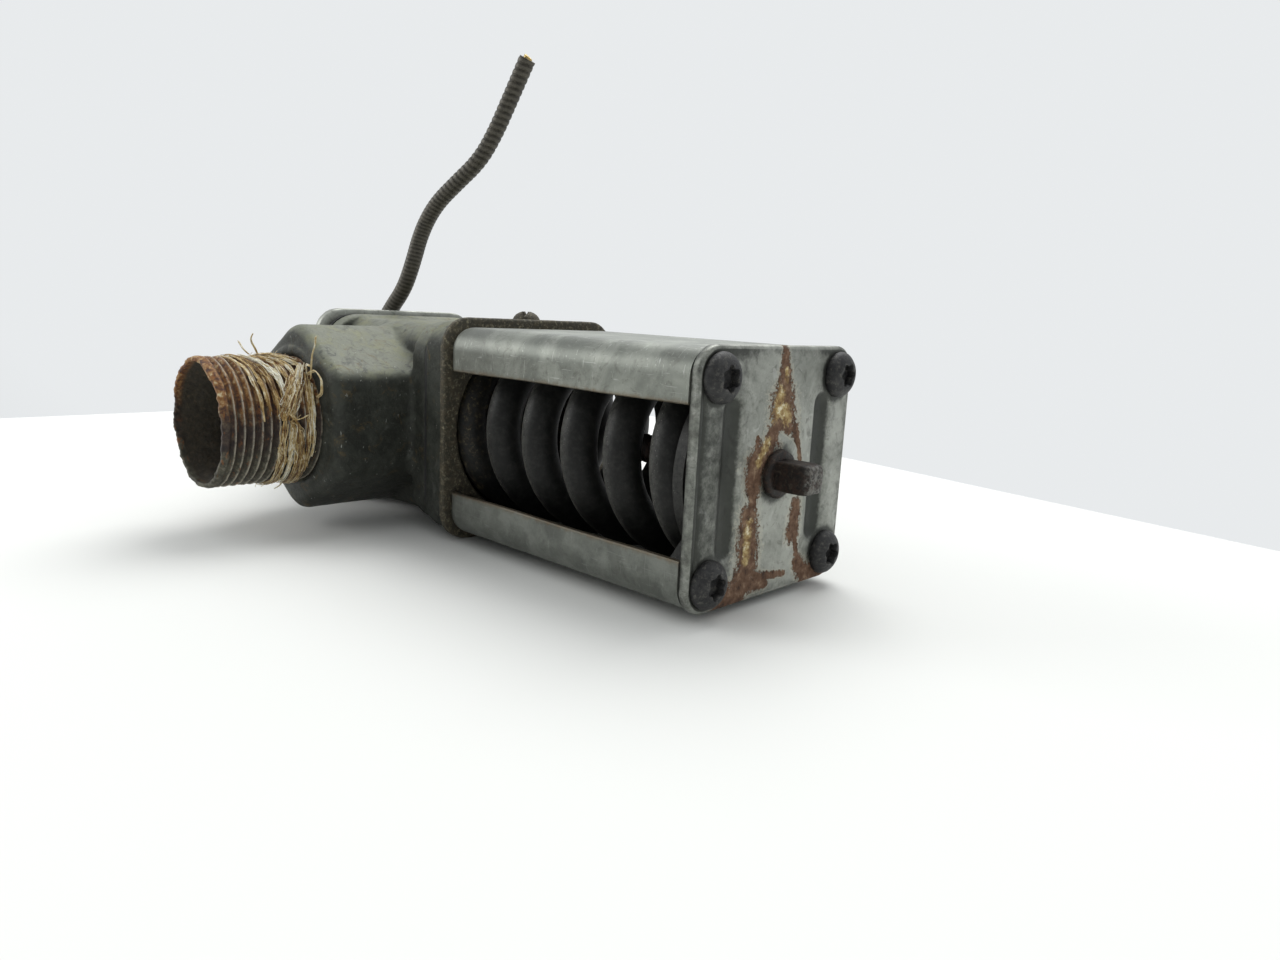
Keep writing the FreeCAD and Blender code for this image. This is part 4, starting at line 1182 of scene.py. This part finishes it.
# ---------------------------------------------------------------- pieces that deform

bellows_copy = linked("bellows_thin_wall", frame["nodes"]["bellows"].data.copy())
coat(bellows_copy, "bellows_metal")
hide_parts("bellows")
bellows_foot, bellows_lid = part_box("bellows_ring")[1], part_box("bellows_end")[0]
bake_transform(bellows_copy, "valve", "stem", (bellows_foot.x, 0, 0), (bellows_lid.x, 0, 0))
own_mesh(spring)


# ---------------------------------------------------------------- stage, light and camera

TABLE = [(-380, -900), (900, -900), (900, 5), (-380, 262)]
table_top = mesh_object("table_top", [(x, y, FLOOR_Z) for x, y in TABLE], [(0, 1, 2, 3)])
table_finish = Finish("table_top")
table_top.data.materials.append(table_finish.done((0.775, 0.78, 0.755), 0.8, (table_finish.noise(0.05, 3, 0.5), 0.02)))

world = bpy.data.worlds.new("studio")
bpy.context.scene.world = world
world.use_nodes = True
tree = world.node_tree
background = next(n for n in tree.nodes if n.type == "BACKGROUND")
ways = tree.nodes.new("ShaderNodeTexCoord")
gradient = tree.nodes.new("ShaderNodeVectorMath")
gradient.operation = "DOT_PRODUCT"
tree.links.new(ways.outputs["Generated"], gradient.inputs[0])
gradient.inputs[1].default_value = (-0.35, 0.75, 0.55)
spread = tree.nodes.new("ShaderNodeMapRange")
tree.links.new(gradient.outputs["Value"], spread.inputs["Value"])
spread.inputs["From Min"].default_value, spread.inputs["From Max"].default_value = -0.9, 0.45
spread.inputs["To Min"].default_value, spread.inputs["To Max"].default_value = 0.25, 0.83
tree.links.new(spread.outputs[0], background.inputs["Strength"])
background.inputs["Color"].default_value = (0.975, 1.0, 1.015, 1)


def soft_light(name, place, size, power):
    """A square lamp that looks at the origin."""
    lamp = bpy.data.lights.new(name, "AREA")
    lamp.shape, lamp.size, lamp.energy = "SQUARE", size, power
    obj = linked(name, lamp)
    obj.location = place
    obj.rotation_euler = (-Vector(place)).to_track_quat("-Z", "Y").to_euler()


soft_light("overhead", (-0.25, 0.55, 1.1), 0.9, 11.0)
soft_light("left_window", (-1.0, -0.75, 0.55), 0.7, 6.0)

camera = linked("camera", bpy.data.cameras.new("camera"))
camera.data.lens, camera.data.sensor_width = 24.575, 36
camera.data.clip_start = 0.005
right, above, back = (0.71947, 0.69270, 0.05035), (-0.16656, 0.10170, 0.98077), (0.67426, -0.71402, 0.18855)
camera.matrix_world = Matrix([(right[i], above[i], back[i], place) for i, place in
                              enumerate((0.19802, -0.14582, 0.06295))] + [(0, 0, 0, 1)])
bpy.context.scene.camera = camera
bpy.context.scene.view_settings.view_transform = "Standard"
